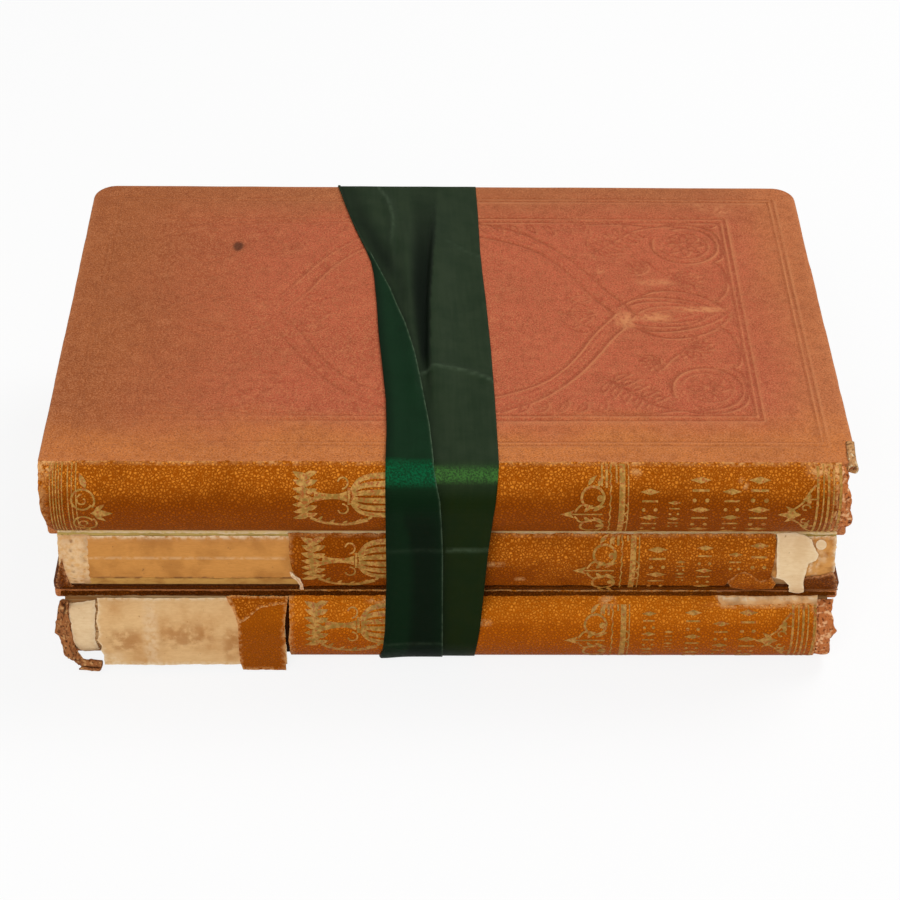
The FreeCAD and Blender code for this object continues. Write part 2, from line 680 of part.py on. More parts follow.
def ribbon_outline():
    """Space that holds the single layer: above the stack, below it, and in front of the joints."""
    back = f"({COVER_EDGE} + 2*Sizes.ribbon_thick)"
    middle = f"({STACK_HEIGHT}/2)"
    right_back = "(Sizes.ribbon_left + Sizes.ribbon_width)"
    right_front = "(Sizes.ribbon_fold_left + Sizes.ribbon_width - Sizes.ribbon_fold)"
    right_foot = "(Sizes.ribbon_foot_left + Sizes.ribbon_width - Sizes.ribbon_foot_fold)"
    bow = "(0.4*(Sizes.ribbon_fold_left - Sizes.ribbon_left))"
    curve = arc_radius(f"sqrt({back}^2 + (Sizes.ribbon_fold_left - Sizes.ribbon_left)^2)", bow)
    above = prism("ribbon_above", "XY_Plane", [[
        ("Sizes.ribbon_fold_left", "0"), (right_front, "0"), (right_back, back),
        ("Sizes.ribbon_left", back, "left", curve),
    ]], STACK_HEIGHT, z=middle, both_ways=False)
    below = prism("ribbon_below", "XY_Plane", [[
        ("Sizes.ribbon_foot_left", "0"), (right_foot, "0"), (right_back, back),
        ("Sizes.ribbon_left", back),
    ]], STACK_HEIGHT, z=f"-{middle}", both_ways=False)
    facing = prism("ribbon_facing", "XZ_Plane", [[
        ("Sizes.ribbon_foot_left", "-(Sizes.ribbon_thick)"),
        (right_foot, "-(Sizes.ribbon_thick)"),
        (right_front, f"{STACK_HEIGHT} + 2*Sizes.ribbon_thick"),
        ("Sizes.ribbon_fold_left", f"{STACK_HEIGHT} + 2*Sizes.ribbon_thick"),
    ]], f"2*{RIBBON_FRONT}", y=f"({STACK_Y})", both_ways=False)
    return boolean("MultiFuse", "ribbon_space", above, below, facing)


def fold_outline():
    """Space that holds the folded layer, on the cover and down the spines."""
    start = f"({COVER_EDGE} - Sizes.fold_start)"
    edge_top = "(Sizes.ribbon_fold_left + Sizes.ribbon_fold)"
    edge_foot = "(Sizes.ribbon_foot_left + Sizes.ribbon_foot_fold)"
    tip = "(Sizes.ribbon_left + 0.5*(Sizes.ribbon_fold_left - Sizes.ribbon_left))"
    outer_curve = arc_radius(f"{start}", "0.02*Sizes.board_width")
    above = prism("fold_above", "XY_Plane", [[
        ("Sizes.ribbon_fold_left", "0"), (edge_top, "0", "right", outer_curve),
        (tip, start, "left", f"1.02*{outer_curve}"),
    ]], STACK_HEIGHT, z=f"({STACK_HEIGHT}/2)", both_ways=False)
    facing = prism("fold_facing", "XZ_Plane", [[
        ("Sizes.ribbon_foot_left", "Sizes.lower_thick*0.15"),
        (edge_foot, "Sizes.lower_thick*0.15"),
        (edge_top, f"{STACK_HEIGHT} + 2*Sizes.ribbon_thick"),
        ("Sizes.ribbon_fold_left", f"{STACK_HEIGHT} + 2*Sizes.ribbon_thick"),
    ]], f"2*{RIBBON_FRONT}", both_ways=False)
    return boolean("MultiFuse", "fold_space", above, facing)


def build():
    """Makes every sub-part and returns them in order."""
    pieces = []
    chip = bumped_corner()
    for book in BOOKS:
        pieces.append(text_block(book))
        for side in ("front", "back"):
            plain_board = board(book, side)
            if (book, side) == ("upper", "back"):
                plain_board.Label = "upper_back_board_whole"
                plain_board = boolean("Cut", "upper_back_board_chipped", plain_board, chip)
                plain_board.Label = "upper_back_board"
            pieces.append(plain_board)
            pieces.append(endpaper(book, side))
    pieces += [upper_cover_cloth(chip), upper_spine_inlay(), spine_lining("upper")]
    back_cloth = cover_skin("middle", "back", near="Sizes.joint_gap*0.8")
    back_cloth.Label = "middle_back_cloth"
    pieces += [back_cloth, middle_front_cloth(), middle_spine_cloth(), middle_spine_inlay()]
    pieces.append(spine_lining("middle", left="Sizes.paper_left"))
    pieces += [lower_cover_cloth(), lower_spine_inlay(), spine_lining("lower")]
    pieces.append(ribbon())
    return pieces


def check(pieces):
    """Stops if any object failed, or if a sub-part is empty or invalid."""
    failed = [o.Label for o in doc.Objects if {"Invalid", "Error"} & set(o.State)]
    if failed:
        raise RuntimeError(f"these objects failed: {failed}")
    for piece in pieces:
        if piece.Shape.isNull() or not piece.Shape.isValid() or not piece.Shape.Solids:
            raise RuntimeError(f"{piece.Label} has no valid solid")


sub_parts = build()
doc.recompute()
check(sub_parts)
os.makedirs(PARTS_FOLDER, exist_ok=True)
for sub_part in sub_parts:
    sub_part.Shape.exportStep(os.path.join(PARTS_FOLDER, f"{sub_part.Label}.step"))
print(f"wrote {len(sub_parts)} sub-parts")
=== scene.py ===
"""Stack of three old cloth-bound books tied with a dark green satin ribbon.

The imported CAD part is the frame. Pages, boards and endpapers keep their CAD solids and get
materials here. The cloth, the torn papers of the spines and the ribbon are built here as
thin sheets that follow the same shapes.
"""

import logging
import math
from dataclasses import dataclass, field
from enum import Enum
from typing import Callable, Optional, Sequence

import bpy
import numpy as np
from mathutils import Matrix, Vector
from mathutils.geometry import delaunay_2d_cdt


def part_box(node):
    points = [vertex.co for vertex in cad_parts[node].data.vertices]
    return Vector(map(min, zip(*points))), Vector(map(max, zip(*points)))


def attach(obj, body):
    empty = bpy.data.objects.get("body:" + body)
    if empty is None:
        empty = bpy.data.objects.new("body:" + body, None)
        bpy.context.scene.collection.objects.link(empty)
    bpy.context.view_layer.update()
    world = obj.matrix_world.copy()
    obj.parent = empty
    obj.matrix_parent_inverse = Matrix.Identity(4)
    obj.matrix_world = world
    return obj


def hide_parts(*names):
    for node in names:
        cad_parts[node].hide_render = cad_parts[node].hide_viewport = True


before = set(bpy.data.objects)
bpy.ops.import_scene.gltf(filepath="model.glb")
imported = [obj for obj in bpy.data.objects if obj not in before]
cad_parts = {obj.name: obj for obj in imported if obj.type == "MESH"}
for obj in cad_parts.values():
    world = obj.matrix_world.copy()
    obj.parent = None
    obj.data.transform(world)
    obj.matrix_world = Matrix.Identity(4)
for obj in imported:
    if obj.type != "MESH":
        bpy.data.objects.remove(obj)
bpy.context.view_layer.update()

MM = 0.001
CLOTH_MM = 0.5
COVER_MM = 3.4
SHOULDER_MM = 1.8
LINING_GAP_MM = 1.4
Point2 = tuple[float, float]
Point3 = tuple[float, float, float]
Socket = bpy.types.NodeSocket
Marks = dict[str, np.ndarray]
Form = Callable[[np.ndarray, np.ndarray, np.ndarray], np.ndarray]
log = logging.getLogger("stack_of_books")


# Numbers and colours


def read_table(at: float, table: Sequence[Point2]) -> float:
    """Reads a value between the points of a table.

    Args:
        at: the place.
        table: places in rising order, with their values.

    Returns:
        The value there.
    """
    return float(np.interp(at, *zip(*table)))


def linear(code: str) -> tuple[float, float, float, float]:
    """Turns an sRGB hex colour into linear RGBA.

    Args:
        code: the colour, such as "#B65F47".

    Returns:
        Linear red, green, blue and an alpha of 1.
    """
    parts = [int(code[i : i + 2], 16) / 255 for i in (1, 3, 5)]
    out = [c / 12.92 if c <= 0.04045 else ((c + 0.055) / 1.055) ** 2.4 for c in parts]
    return (out[0], out[1], out[2], 1.0)


def smooth_step(low: float, high: float, value: np.ndarray) -> np.ndarray:
    """Rises smoothly from 0 at low to 1 at high.

    Args:
        low: where it is 0.
        high: where it is 1.
        value: the places.

    Returns:
        The heights, from 0 to 1.
    """
    share = np.clip((np.asarray(value, float) - low) / (high - low), 0, 1)
    return share * share * (3 - 2 * share)


def soft_noise(x: np.ndarray, y: np.ndarray, size: float, seed: int) -> np.ndarray:
    """Gives smooth random heights about 0 with blobs of one size.

    Args:
        x: places along the first axis, in mm.
        y: places along the second axis, in mm.
        size: width of one blob, in mm.
        seed: picks the pattern.

    Returns:
        Heights from about -1 to 1.
    """
    table = np.random.default_rng(seed).uniform(-1, 1, (97, 89))
    u, v = np.asarray(x, float) / size, np.asarray(y, float) / size
    i, j = np.floor(u).astype(int), np.floor(v).astype(int)
    a, b = u - i, v - j
    a, b = a * a * (3 - 2 * a), b * b * (3 - 2 * b)
    rows, columns = table.shape

    def pick(p: np.ndarray, q: np.ndarray) -> np.ndarray:
        """Reads the table, which repeats without end."""
        return table[p % rows, q % columns]

    near = pick(i, j) * (1 - a) + pick(i + 1, j) * a
    far = pick(i, j + 1) * (1 - a) + pick(i + 1, j + 1) * a
    return near * (1 - b) + far * b


# Flat outlines


def spread(outline: Sequence[Point2], pitch: float, closed: bool = True) -> np.ndarray:
    """Adds points along an outline so that no step is longer than the pitch.

    Args:
        outline: corner points, in mm.
        pitch: longest step, in mm.
        closed: whether the last point joins the first.

    Returns:
        The points, one per row.
    """
    rows: list[np.ndarray] = []
    count = len(outline) if closed else len(outline) - 1
    for i in range(count):
        a, b = np.array(outline[i], float), np.array(outline[(i + 1) % len(outline)], float)
        steps = max(1, int(math.ceil(np.linalg.norm(b - a) / pitch)))
        rows.extend(a + (b - a) * k / steps for k in range(steps))
    if not closed:
        rows.append(np.array(outline[-1], float))
    return np.array(rows)


def ragged(outline: Sequence[Point2], pitch: float, amount: float, seed: int) -> np.ndarray:
    """Roughens an outline as torn paper or cloth is rough.

    Args:
        outline: corner points, in mm.
        pitch: step between points, in mm.
        amount: how far the edge wanders, in mm.
        seed: picks the tear.

    Returns:
        The torn outline, one point per row.
    """
    points = spread(outline, pitch)
    ahead, behind = np.roll(points, -1, axis=0), np.roll(points, 1, axis=0)
    along = ahead - behind
    along /= np.maximum(np.linalg.norm(along, axis=1), 1e-9)[:, None]
    across = np.stack([-along[:, 1], along[:, 0]], axis=1)
    wander = 0.65 * soft_noise(points[:, 0], points[:, 1], 2.6, seed)
    wander += 0.45 * soft_noise(points[:, 0], points[:, 1], 0.8, seed + 1)
    return points + across * (wander * amount)[:, None]


def inside(points: np.ndarray, outline: np.ndarray) -> np.ndarray:
    """Tells which points lie within an outline.

    Args:
        points: places, one per row.
        outline: closed outline, one point per row.

    Returns:
        One truth value per place.
    """
    found = np.zeros(len(points), bool)
    ahead = np.roll(outline, -1, axis=0)
    for (x1, y1), (x2, y2) in zip(outline, ahead):
        if y1 == y2:
            continue
        crosses = (y1 > points[:, 1]) != (y2 > points[:, 1])
        found ^= crosses & (points[:, 0] < (x2 - x1) * (points[:, 1] - y1) / (y2 - y1) + x1)
    return found


def edge_distance(points: np.ndarray, outline: np.ndarray) -> np.ndarray:
    """Measures how far each point is from an outline.

    Args:
        points: places, one per row.
        outline: closed outline, one point per row.

    Returns:
        Distances, in mm.
    """
    best = np.full(len(points), 1e9)
    ahead = np.roll(outline, -1, axis=0)
    for a, b in zip(outline, ahead):
        d = b - a
        length = float(d @ d)
        if length < 1e-12:
            continue
        t = np.clip(((points - a) @ d) / length, 0, 1)
        best = np.minimum(best, np.linalg.norm(points - a - t[:, None] * d, axis=1))
    return best


def fill_outline(outline: np.ndarray, pitch: float) -> tuple[np.ndarray, list[list[int]]]:
    """Fills an outline with triangles of about one size.

    Args:
        outline: closed outline, one point per row.
        pitch: size of the triangles, in mm.

    Returns:
        Points, and triangles that name them.
    """
    low, high = outline.min(0), outline.max(0)
    xs = np.arange(low[0] + pitch / 2, high[0], pitch)
    ys = np.arange(low[1] + pitch / 2, high[1], pitch * 0.87)
    grid = np.array([(x + (j % 2) * pitch / 2, y) for j, y in enumerate(ys) for x in xs])
    if len(grid):
        grid = grid[inside(grid, outline)]
    if len(grid):
        grid = grid[edge_distance(grid, outline) > pitch * 0.45]
    every = [Vector(p) for p in outline] + [Vector(p) for p in grid]
    found = delaunay_2d_cdt(every, [], [list(range(len(outline)))], 1, 1e-6)
    return np.array([tuple(v) for v in found[0]]), [list(f) for f in found[2]]


def curve(*points: Point2, steps: int = 16) -> list[Point2]:
    """Follows a smooth line through points.

    Args:
        points: places that the line passes, in mm.
        steps: points made for each stretch.

    Returns:
        The line's points.
    """
    ends = [points[0], *points, points[-1]]
    out: list[Point2] = []
    for i in range(1, len(ends) - 2):
        p0, p1, p2, p3 = (np.array(ends[k], float) for k in range(i - 1, i + 3))
        for k in range(steps):
            t = k / steps
            out.append(
                tuple(
                    0.5
                    * (
                        2 * p1
                        + (p2 - p0) * t
                        + (2 * p0 - 5 * p1 + 4 * p2 - p3) * t * t
                        + (3 * p1 - p0 - 3 * p2 + p3) * t**3
                    )
                )
            )
    out.append(tuple(points[-1]))
    return out


def arc(
    centre: Point2, radius: float, start: float, end: float, end_radius: Optional[float] = None
) -> list[Point2]:
    """Follows a circle or a spiral.

    Args:
        centre: its middle, in mm.
        radius: radius at the start, in mm.
        start: first angle, in degrees.
        end: last angle, in degrees.
        end_radius: radius at the end, if it changes.

    Returns:
        The line's points.
    """
    last = radius if end_radius is None else end_radius
    count = max(8, int(abs(end - start) / 9))
    out = []
    for k in range(count + 1):
        a = math.radians(start + (end - start) * k / count)
        r = radius + (last - radius) * k / count
        out.append((centre[0] + r * math.cos(a), centre[1] + r * math.sin(a)))
    return out


def leaf_outline(base: Point2, tip: Point2, width: float, bend: float = 0.0) -> list[Point2]:
    """Draws a pointed leaf.

    Args:
        base: where it grows from, in mm.
        tip: its point, in mm.
        width: its widest, in mm.
        bend: how far its middle stands to one side, in mm.

    Returns:
        The closed outline.
    """
    a, b = np.array(base, float), np.array(tip, float)
    along = b - a
    across = np.array([-along[1], along[0]]) / max(np.linalg.norm(along), 1e-9)
    shape = [(0.0, 0.0), (0.18, 0.33), (0.42, 0.5), (0.7, 0.34), (0.88, 0.15), (1.0, 0.0)]

    def side(sign: float) -> list[np.ndarray]:
        """Follows one edge from the base to the tip."""
        return [a + along * t + across * (sign * w * width + bend * 4 * t * (1 - t)) for t, w in shape]

    left, right = side(1), side(-1)
    return [tuple(p) for p in left] + [tuple(p) for p in right[-2:0:-1]]


# Node trees


def add(
    tree: bpy.types.NodeTree,
    kind: str,
    settings: Optional[dict] = None,
    links: Optional[dict] = None,
) -> bpy.types.Node:
    """Adds one node with its settings and links.

    Args:
        tree: the node tree.
        kind: the node's type, such as "ShaderNodeMix".
        settings: properties by name, and input values by name or number.
        links: sockets that feed the inputs, by name or number.

    Returns:
        The node.
    """
    made = tree.nodes.new(kind)
    for key, value in (settings or {}).items():
        if isinstance(key, str) and hasattr(made, key) and key not in made.inputs:
            setattr(made, key, value)
        else:
            made.inputs[key].default_value = value
    for key, source in (links or {}).items():
        tree.links.new(source, made.inputs[key])
    return made


@dataclass(frozen=True)
class Finish:
    """A material: what the real surface is made of, and how it looks."""

    name: str

    def dress(self, tree: bpy.types.NodeTree, shader: bpy.types.Node) -> None:
        """Adds this finish's own nodes. Each kind of finish has its own.

        Args:
            tree: the material's nodes.
            shader: the Principled shader that they feed.
        """

    def make(self) -> bpy.types.Material:
        """Returns the material, made once."""
        known = bpy.data.materials.get(self.name)
        if known:
            return known
        material = bpy.data.materials.new(self.name)
        material.use_nodes = True
        tree = material.node_tree
        shader = tree.nodes["Principled BSDF"]
        self.dress(tree, shader)
        return material


def place(tree: bpy.types.NodeTree) -> Socket:
    """Returns the socket with the surface's own place in metres."""
    return add(tree, "ShaderNodeTexCoord").outputs["Object"]


def noise(
    tree: bpy.types.NodeTree,
    size_mm: float,
    detail: float = 2.0,
    where: Optional[Socket] = None,
    stretch: Point3 = (1, 1, 1),
) -> Socket:
    """Makes soft random blobs of a real size.

    Args:
        tree: the node tree.
        size_mm: width of one blob, in mm.
        detail: how many finer layers it has.
        where: the place socket, if it isn't the surface's own.
        stretch: how much finer it is along x, y and z.

    Returns:
        The socket with values about 0.5.
    """
    source = where or place(tree)
    if stretch != (1, 1, 1):
        source = add(
            tree, "ShaderNodeMapping", {"Scale": stretch}, {"Vector": source}
        ).outputs["Vector"]
    made = add(
        tree,
        "ShaderNodeTexNoise",
        {"Scale": 1 / (size_mm * MM), "Detail": detail, "Roughness": 0.55},
        {"Vector": source},
    )
    return made.outputs["Fac"]


def ramp(
    tree: bpy.types.NodeTree, source: Socket, low: float, high: float, start: float = 0.0, end: float = 1.0
) -> Socket:
    """Turns a value between low and high smoothly into one between start and end.

    Args:
        tree: the node tree.
        source: the socket read.
        low: value that becomes start.
        high: value that becomes end.
        start: first result.
        end: last result.

    Returns:
        The socket with the result.
    """
    made = add(
        tree,
        "ShaderNodeMapRange",
        {
            "interpolation_type": "SMOOTHSTEP",
            "From Min": low,
            "From Max": high,
            "To Min": start,
            "To Max": end,
        },
        {"Value": source},
    )
    return made.outputs["Result"]


def blend_colours(tree: bpy.types.NodeTree, share: Socket | float, first: Socket | str,
    second: Socket | str) -> Socket:
    """Blends two colours.

    Args:
        tree: the node tree.
        share: socket or number with the second one's share.
        first: hex colour or socket.
        second: hex colour or socket.

    Returns:
        The socket with the colour.
    """
    made = add(tree, "ShaderNodeMix", {"data_type": "RGBA"})
    for key, value in (("Factor", share), (6, first), (7, second)):
        socket = made.inputs[key]
        if isinstance(value, str):
            socket.default_value = linear(value)
        elif isinstance(value, (int, float)):
            socket.default_value = value
        else:
            tree.links.new(value, socket)
    return made.outputs[2]


def combine(tree: bpy.types.NodeTree, how: str, first: Socket | float, second: Socket | float) -> Socket:
    """Joins two values by arithmetic.

    Args:
        tree: the node tree.
        how: the operation, such as "MULTIPLY".
        first: socket or number.
        second: socket or number.

    Returns:
        The socket with the result.
    """
    made = add(tree, "ShaderNodeMath", {"operation": how})
    for socket, value in zip(made.inputs, (first, second)):
        if isinstance(value, (int, float)):
            socket.default_value = value
        else:
            tree.links.new(value, socket)
    return made.outputs[0]


def stored(tree: bpy.types.NodeTree, name: str) -> Socket:
    """Returns the socket of a number stored at the mesh's points."""
    return add(tree, "ShaderNodeAttribute", {"attribute_name": name}).outputs["Fac"]


def raise_surface(tree: bpy.types.NodeTree, shader: bpy.types.Node, height: Socket,
    depth_mm: float) -> None:
    """Gives the surface fine relief.

    Args:
        tree: the node tree.
        shader: the Principled shader.
        height: socket from 0 to 1.
        depth_mm: the relief's depth, in mm.
    """
    bump = add(
        tree, "ShaderNodeBump", {"Distance": depth_mm * MM, "Strength": 1.0}, {"Height": height}
    )
    tree.links.new(bump.outputs["Normal"], shader.inputs["Normal"])


# Finishes


@dataclass(frozen=True)
class CoverCloth(Finish):
    """Cotton bookcloth, dyed rose and embossed with a fine grain: matt, browned at the rims."""

    heart: str = "#BC5A3E"
    back_rim: str = "#A86039"
    front_rim: str = "#C8763A"
    tail_rim: str = "#A35A30"
    head_rim: str = "#BC6C40"
    dark: str = "#74361C"
    rubbed: str = "#D68E5E"
    grain_mm: float = 0.4
    centre_y: float = 4.5

    def dress(self, tree: bpy.types.NodeTree, shader: bpy.types.Node) -> None:
        """Browned rims, pressed lines darkened by painted shade, a painted highlight along one side of each
        pressed line, rubbed nap, and the cloth's grain.
        """
        where = place(tree)
        parts = add(tree, "ShaderNodeSeparateXYZ", {}, {"Vector": where})
        x = parts.outputs["X"]
        y = combine(tree, "SUBTRACT", parts.outputs["Y"], self.centre_y * MM)
        wander = combine(tree, "MULTIPLY", noise(tree, 34, 4), 0.03)
        tail = ramp(tree, combine(tree, "SUBTRACT", wander, x), 0.058, 0.130)
        head = ramp(tree, combine(tree, "ADD", x, wander), 0.106, 0.134)
        back = ramp(tree, combine(tree, "ADD", y, wander), 0.060, 0.094)
        front = ramp(tree, combine(tree, "SUBTRACT", wander, y), 0.062, 0.086)
        colour = blend_colours(tree, back, self.heart, self.back_rim)
        colour = blend_colours(tree, tail, colour, self.tail_rim)
        colour = blend_colours(tree, head, colour, self.head_rim)
        colour = blend_colours(tree, front, colour, self.front_rim)
        mottle = ramp(tree, noise(tree, 26, 6), 0.4, 0.7, 0.0, 0.16)
        colour = blend_colours(tree, mottle, colour, self.dark)
        pits = ramp(tree, noise(tree, self.grain_mm, 3, stretch=(0.8, 1.3, 1)), 0.46, 0.64, 0.0, 0.6)
        colour = blend_colours(tree, pits, colour, self.dark)
        nap = ramp(tree, noise(tree, 0.45, 4), 0.46, 0.62, 0.0, 0.46)
        colour = blend_colours(tree, nap, colour, self.rubbed)
        blotch = ramp(tree, noise(tree, 3.2, 5), 0.46, 0.66, 0.0, 0.17)
        colour = blend_colours(tree, blotch, colour, self.dark)
        paler = ramp(tree, noise(tree, 5.0, 6, stretch=(1.0, 1.6, 1)), 0.5, 0.7, 0.0, 0.12)
        colour = blend_colours(tree, paler, colour, self.rubbed)
        # Painted highlight: the side of each pressed line that faces the light, marked ridge, takes the pale
        # rubbed colour.
        colour = blend_colours(tree, ramp(tree, stored(tree, "ridge"), 0.1, 0.9, 0.0, 0.5), colour,
            self.rubbed)
        # Painted shade: the pressed grooves are darkened by their depth.
        painted_groove_shade = ramp(tree, stored(tree, "pressed"), 0.0, 1.0, 0.0, 0.34)
        colour = blend_colours(tree, painted_groove_shade, colour, self.dark)
        worn = combine(tree, "MULTIPLY", stored(tree, "worn"), ramp(tree, noise(tree, 1.6, 3), 0.3, 0.62))
        colour = blend_colours(tree, worn, colour, self.rubbed)
        stain = ramp(tree, stored(tree, "stain"), 0.2, 0.8, 0.0, 0.8)
        colour = blend_colours(tree, stain, colour, "#4A2A1C")
        tree.links.new(colour, shader.inputs["Base Color"])
        shader.inputs["Roughness"].default_value = 0.68
        shader.inputs["Specular IOR Level"].default_value = 0.16
        shader.inputs["Specular Tint"].default_value = linear("#F6D2B8")
        grain = add(
            tree,
            "ShaderNodeTexVoronoi",
            {"Scale": 1 / (self.grain_mm * MM), "Randomness": 0.8},
            {"Vector": where},
        )
        height = combine(tree, "ADD", grain.outputs["Distance"], noise(tree, 1.4, 3))
        raise_surface(tree, shader, height, 0.13)


@dataclass(frozen=True)
class SpineCloth(Finish):
    """The same bookcloth with a coarse pebble grain, faded to tan by light and handling, with painted
    highlights on the pebbles towards the top of each back.
    """

    ground: str = "#A85204"
    # bright is the colour of the painted highlights on the pebble tops.
    bright: str = "#E48A2A"
    deep: str = "#7C3701"
    rubbed: str = "#E3A768"
    pebble_mm: float = 0.95

    def dress(self, tree: bpy.types.NodeTree, shader: bpy.types.Node) -> None:
        """Pebbles lighter on top and dark between them, a lit copy with painted highlights and a shaded copy
        blended by the fade mark's painted light share, worn pale where the cloth bends.
        """
        where = place(tree)
        stir = add(tree, "ShaderNodeTexNoise", {"Scale": 700.0}, {"Vector": where}).outputs["Color"]
        warped = add(
            tree, "ShaderNodeMix", {"data_type": "VECTOR", "Factor": 0.0006}, {4: where, 5: stir}
        ).outputs[1]
        pebble = add(
            tree,
            "ShaderNodeTexVoronoi",
            {"feature": "DISTANCE_TO_EDGE", "Scale": 1 / (self.pebble_mm * MM)},
            {"Vector": warped},
        ).outputs["Distance"]
        top = ramp(tree, pebble, 0.0, 0.32)
        soft = combine(tree, "MULTIPLY", top, 0.75)
        # The shaded copy, called handled, used where the painted light is low.
        handled = blend_colours(tree, soft, self.deep, self.ground)
        # The lit copy, called faded: painted highlights on the pebble tops.
        ridge = combine(tree, "MULTIPLY", top, ramp(tree, noise(tree, 0.8, 4), 0.26, 0.62))
        faded = blend_colours(tree, ridge, blend_colours(tree, 0.62, self.deep, self.ground), self.bright)
        # The fade mark is the painted light share, with random variation.
        light = combine(tree, "ADD", stored(tree, "fade"),
            ramp(tree, noise(tree, 11, 4), 0.3, 0.7, -0.2, 0.2))
        colour = blend_colours(tree, ramp(tree, light, 0.0, 1.0), handled, faded)
        soil = ramp(tree, noise(tree, 15, 4), 0.42, 0.75, 0.0, 0.35)
        colour = blend_colours(tree, soil, colour, self.deep)
        worn = combine(tree, "MULTIPLY", stored(tree, "worn"), ramp(tree, noise(tree, 1.3, 4), 0.34, 0.6))
        colour = blend_colours(tree, worn, colour, self.rubbed)
        tree.links.new(colour, shader.inputs["Base Color"])
        shader.inputs["Roughness"].default_value = 0.46
        shader.inputs["Specular IOR Level"].default_value = 0.1
        shader.inputs["Specular Tint"].default_value = linear("#F0A050")
        raise_surface(tree, shader, combine(tree, "ADD", top, noise(tree, 0.5, 2)), 0.18)


@dataclass(frozen=True)
class AgedPaper(Finish):
    """Old rag or wood paper: matt, browned in clouds, with foxing specks and fibres."""

    ground: str = "#DBA970"
    cloud: str = "#B9793F"
    speck: str = "#8A5426"
    cloud_mm: float = 11.0
    cloud_share: float = 0.6
    rough: float = 0.85

    def dress(self, tree: bpy.types.NodeTree, shader: bpy.types.Node) -> None:
        """Clouds of brown, small specks, a fibrous surface, and paler torn edges."""
        cloud = ramp(tree, noise(tree, self.cloud_mm, 5), 0.42, 0.68, 0.0, self.cloud_share)
        colour = blend_colours(tree, cloud, self.ground, self.cloud)
        speck = ramp(tree, noise(tree, 1.1, 4), 0.66, 0.76, 0.0, 0.75)
        colour = blend_colours(tree, speck, colour, self.speck)
        fibre = noise(tree, 0.5, 3, stretch=(0.25, 1, 1))
        colour = blend_colours(tree, ramp(tree, fibre, 0.3, 0.7, 0.0, 0.22), colour, self.cloud)
        tint = combine(tree, "MULTIPLY", stored(tree, "worn"), ramp(tree, noise(tree, 1.5, 3), 0.3, 0.6))
        colour = blend_colours(tree, tint, colour, "#F2D9B2")
        dirt = combine(tree, "MULTIPLY", stored(tree, "stain"), ramp(tree, noise(tree, 3.5, 4), 0.35, 0.6))
        colour = blend_colours(tree, dirt, colour, self.speck)
        tree.links.new(colour, shader.inputs["Base Color"])
        shader.inputs["Roughness"].default_value = self.rough
        shader.inputs["Specular IOR Level"].default_value = 0.25
        raise_surface(tree, shader, combine(tree, "ADD", fibre, noise(tree, 2.2, 4)), 0.08)


@dataclass(frozen=True)
class PageEdges(Finish):
    """Cut edges of printing paper, hundreds of leaves: fine lines along the block, browned."""

    ground: str = "#D6AE7A"
    gap: str = "#8C5D30"
    stripe_mm: float = 0.4

    def dress(self, tree: bpy.types.NodeTree, shader: bpy.types.Node) -> None:
        """Lines of leaves, drawn some three leaves thick so that they show, and soiling."""
        leaves = noise(tree, self.stripe_mm, 3, stretch=(0.012, 0.012, 1))
        colour = blend_colours(tree, ramp(tree, leaves, 0.4, 0.62), self.gap, self.ground)
        cloud = ramp(tree, noise(tree, 14, 4), 0.4, 0.7, 0.0, 0.5)
        colour = blend_colours(tree, cloud, colour, "#A8733C")
        tree.links.new(colour, shader.inputs["Base Color"])
        shader.inputs["Roughness"].default_value = 0.88
        shader.inputs["Specular IOR Level"].default_value = 0.2
        raise_surface(tree, shader, leaves, 0.14)


@dataclass(frozen=True)
class WornGilt(Finish):
    """Gold leaf stamped into the cloth: dull ochre, rubbed through to the cloth in places."""

    gold: str = "#C08C40"
    olive: str = "#946C22"
    cloth: str = "#A4540A"
    rub: float = 0.5

    def dress(self, tree: bpy.types.NodeTree, shader: bpy.types.Node) -> None:
        """Gold broken by the grain below it, which it follows, and by rubbing."""
        where = place(tree)
        pebble = add(
            tree,
            "ShaderNodeTexVoronoi",
            {"feature": "SMOOTH_F1", "Scale": 1000.0, "Smoothness": 0.35},
            {"Vector": where},
        ).outputs["Distance"]
        leaf = blend_colours(tree, ramp(tree, noise(tree, 1.6, 4), 0.38, 0.62), self.gold, self.olive)
        gone = ramp(tree, noise(tree, 0.9, 4), self.rub, self.rub + 0.14)
        colour = blend_colours(tree, gone, leaf, self.cloth)
        tree.links.new(colour, shader.inputs["Base Color"])
        tree.links.new(combine(tree, "MULTIPLY", combine(tree, "SUBTRACT", 1.0, gone), 0.2),
            shader.inputs["Metallic"])
        shader.inputs["Roughness"].default_value = 0.5
        shader.inputs["Specular IOR Level"].default_value = 0.3
        raise_surface(tree, shader, ramp(tree, pebble, 0.6, 0.1), 0.07)


@dataclass(frozen=True)
class FrayedCloth(Finish):
    """Raw torn cloth and board at the heads and tails: salmon threads with painted shadow between them."""

    thread: str = "#BE6E38"
    pale: str = "#E6AE7C"
    shadow: str = "#5A2608"

    def dress(self, tree: bpy.types.NodeTree, shader: bpy.types.Node) -> None:
        """Short upright threads of uneven colour, with painted shadow in the dark between them."""
        threads = noise(tree, 0.8, 4, stretch=(1.0, 1, 0.6))
        colour = blend_colours(tree, ramp(tree, threads, 0.3, 0.52), self.shadow, self.thread)
        colour = blend_colours(tree, ramp(tree, noise(tree, 1.8, 4), 0.52, 0.66), colour, self.pale)
        tree.links.new(colour, shader.inputs["Base Color"])
        shader.inputs["Roughness"].default_value = 0.9
        shader.inputs["Specular IOR Level"].default_value = 0.2
        raise_surface(tree, shader, threads, 0.3)


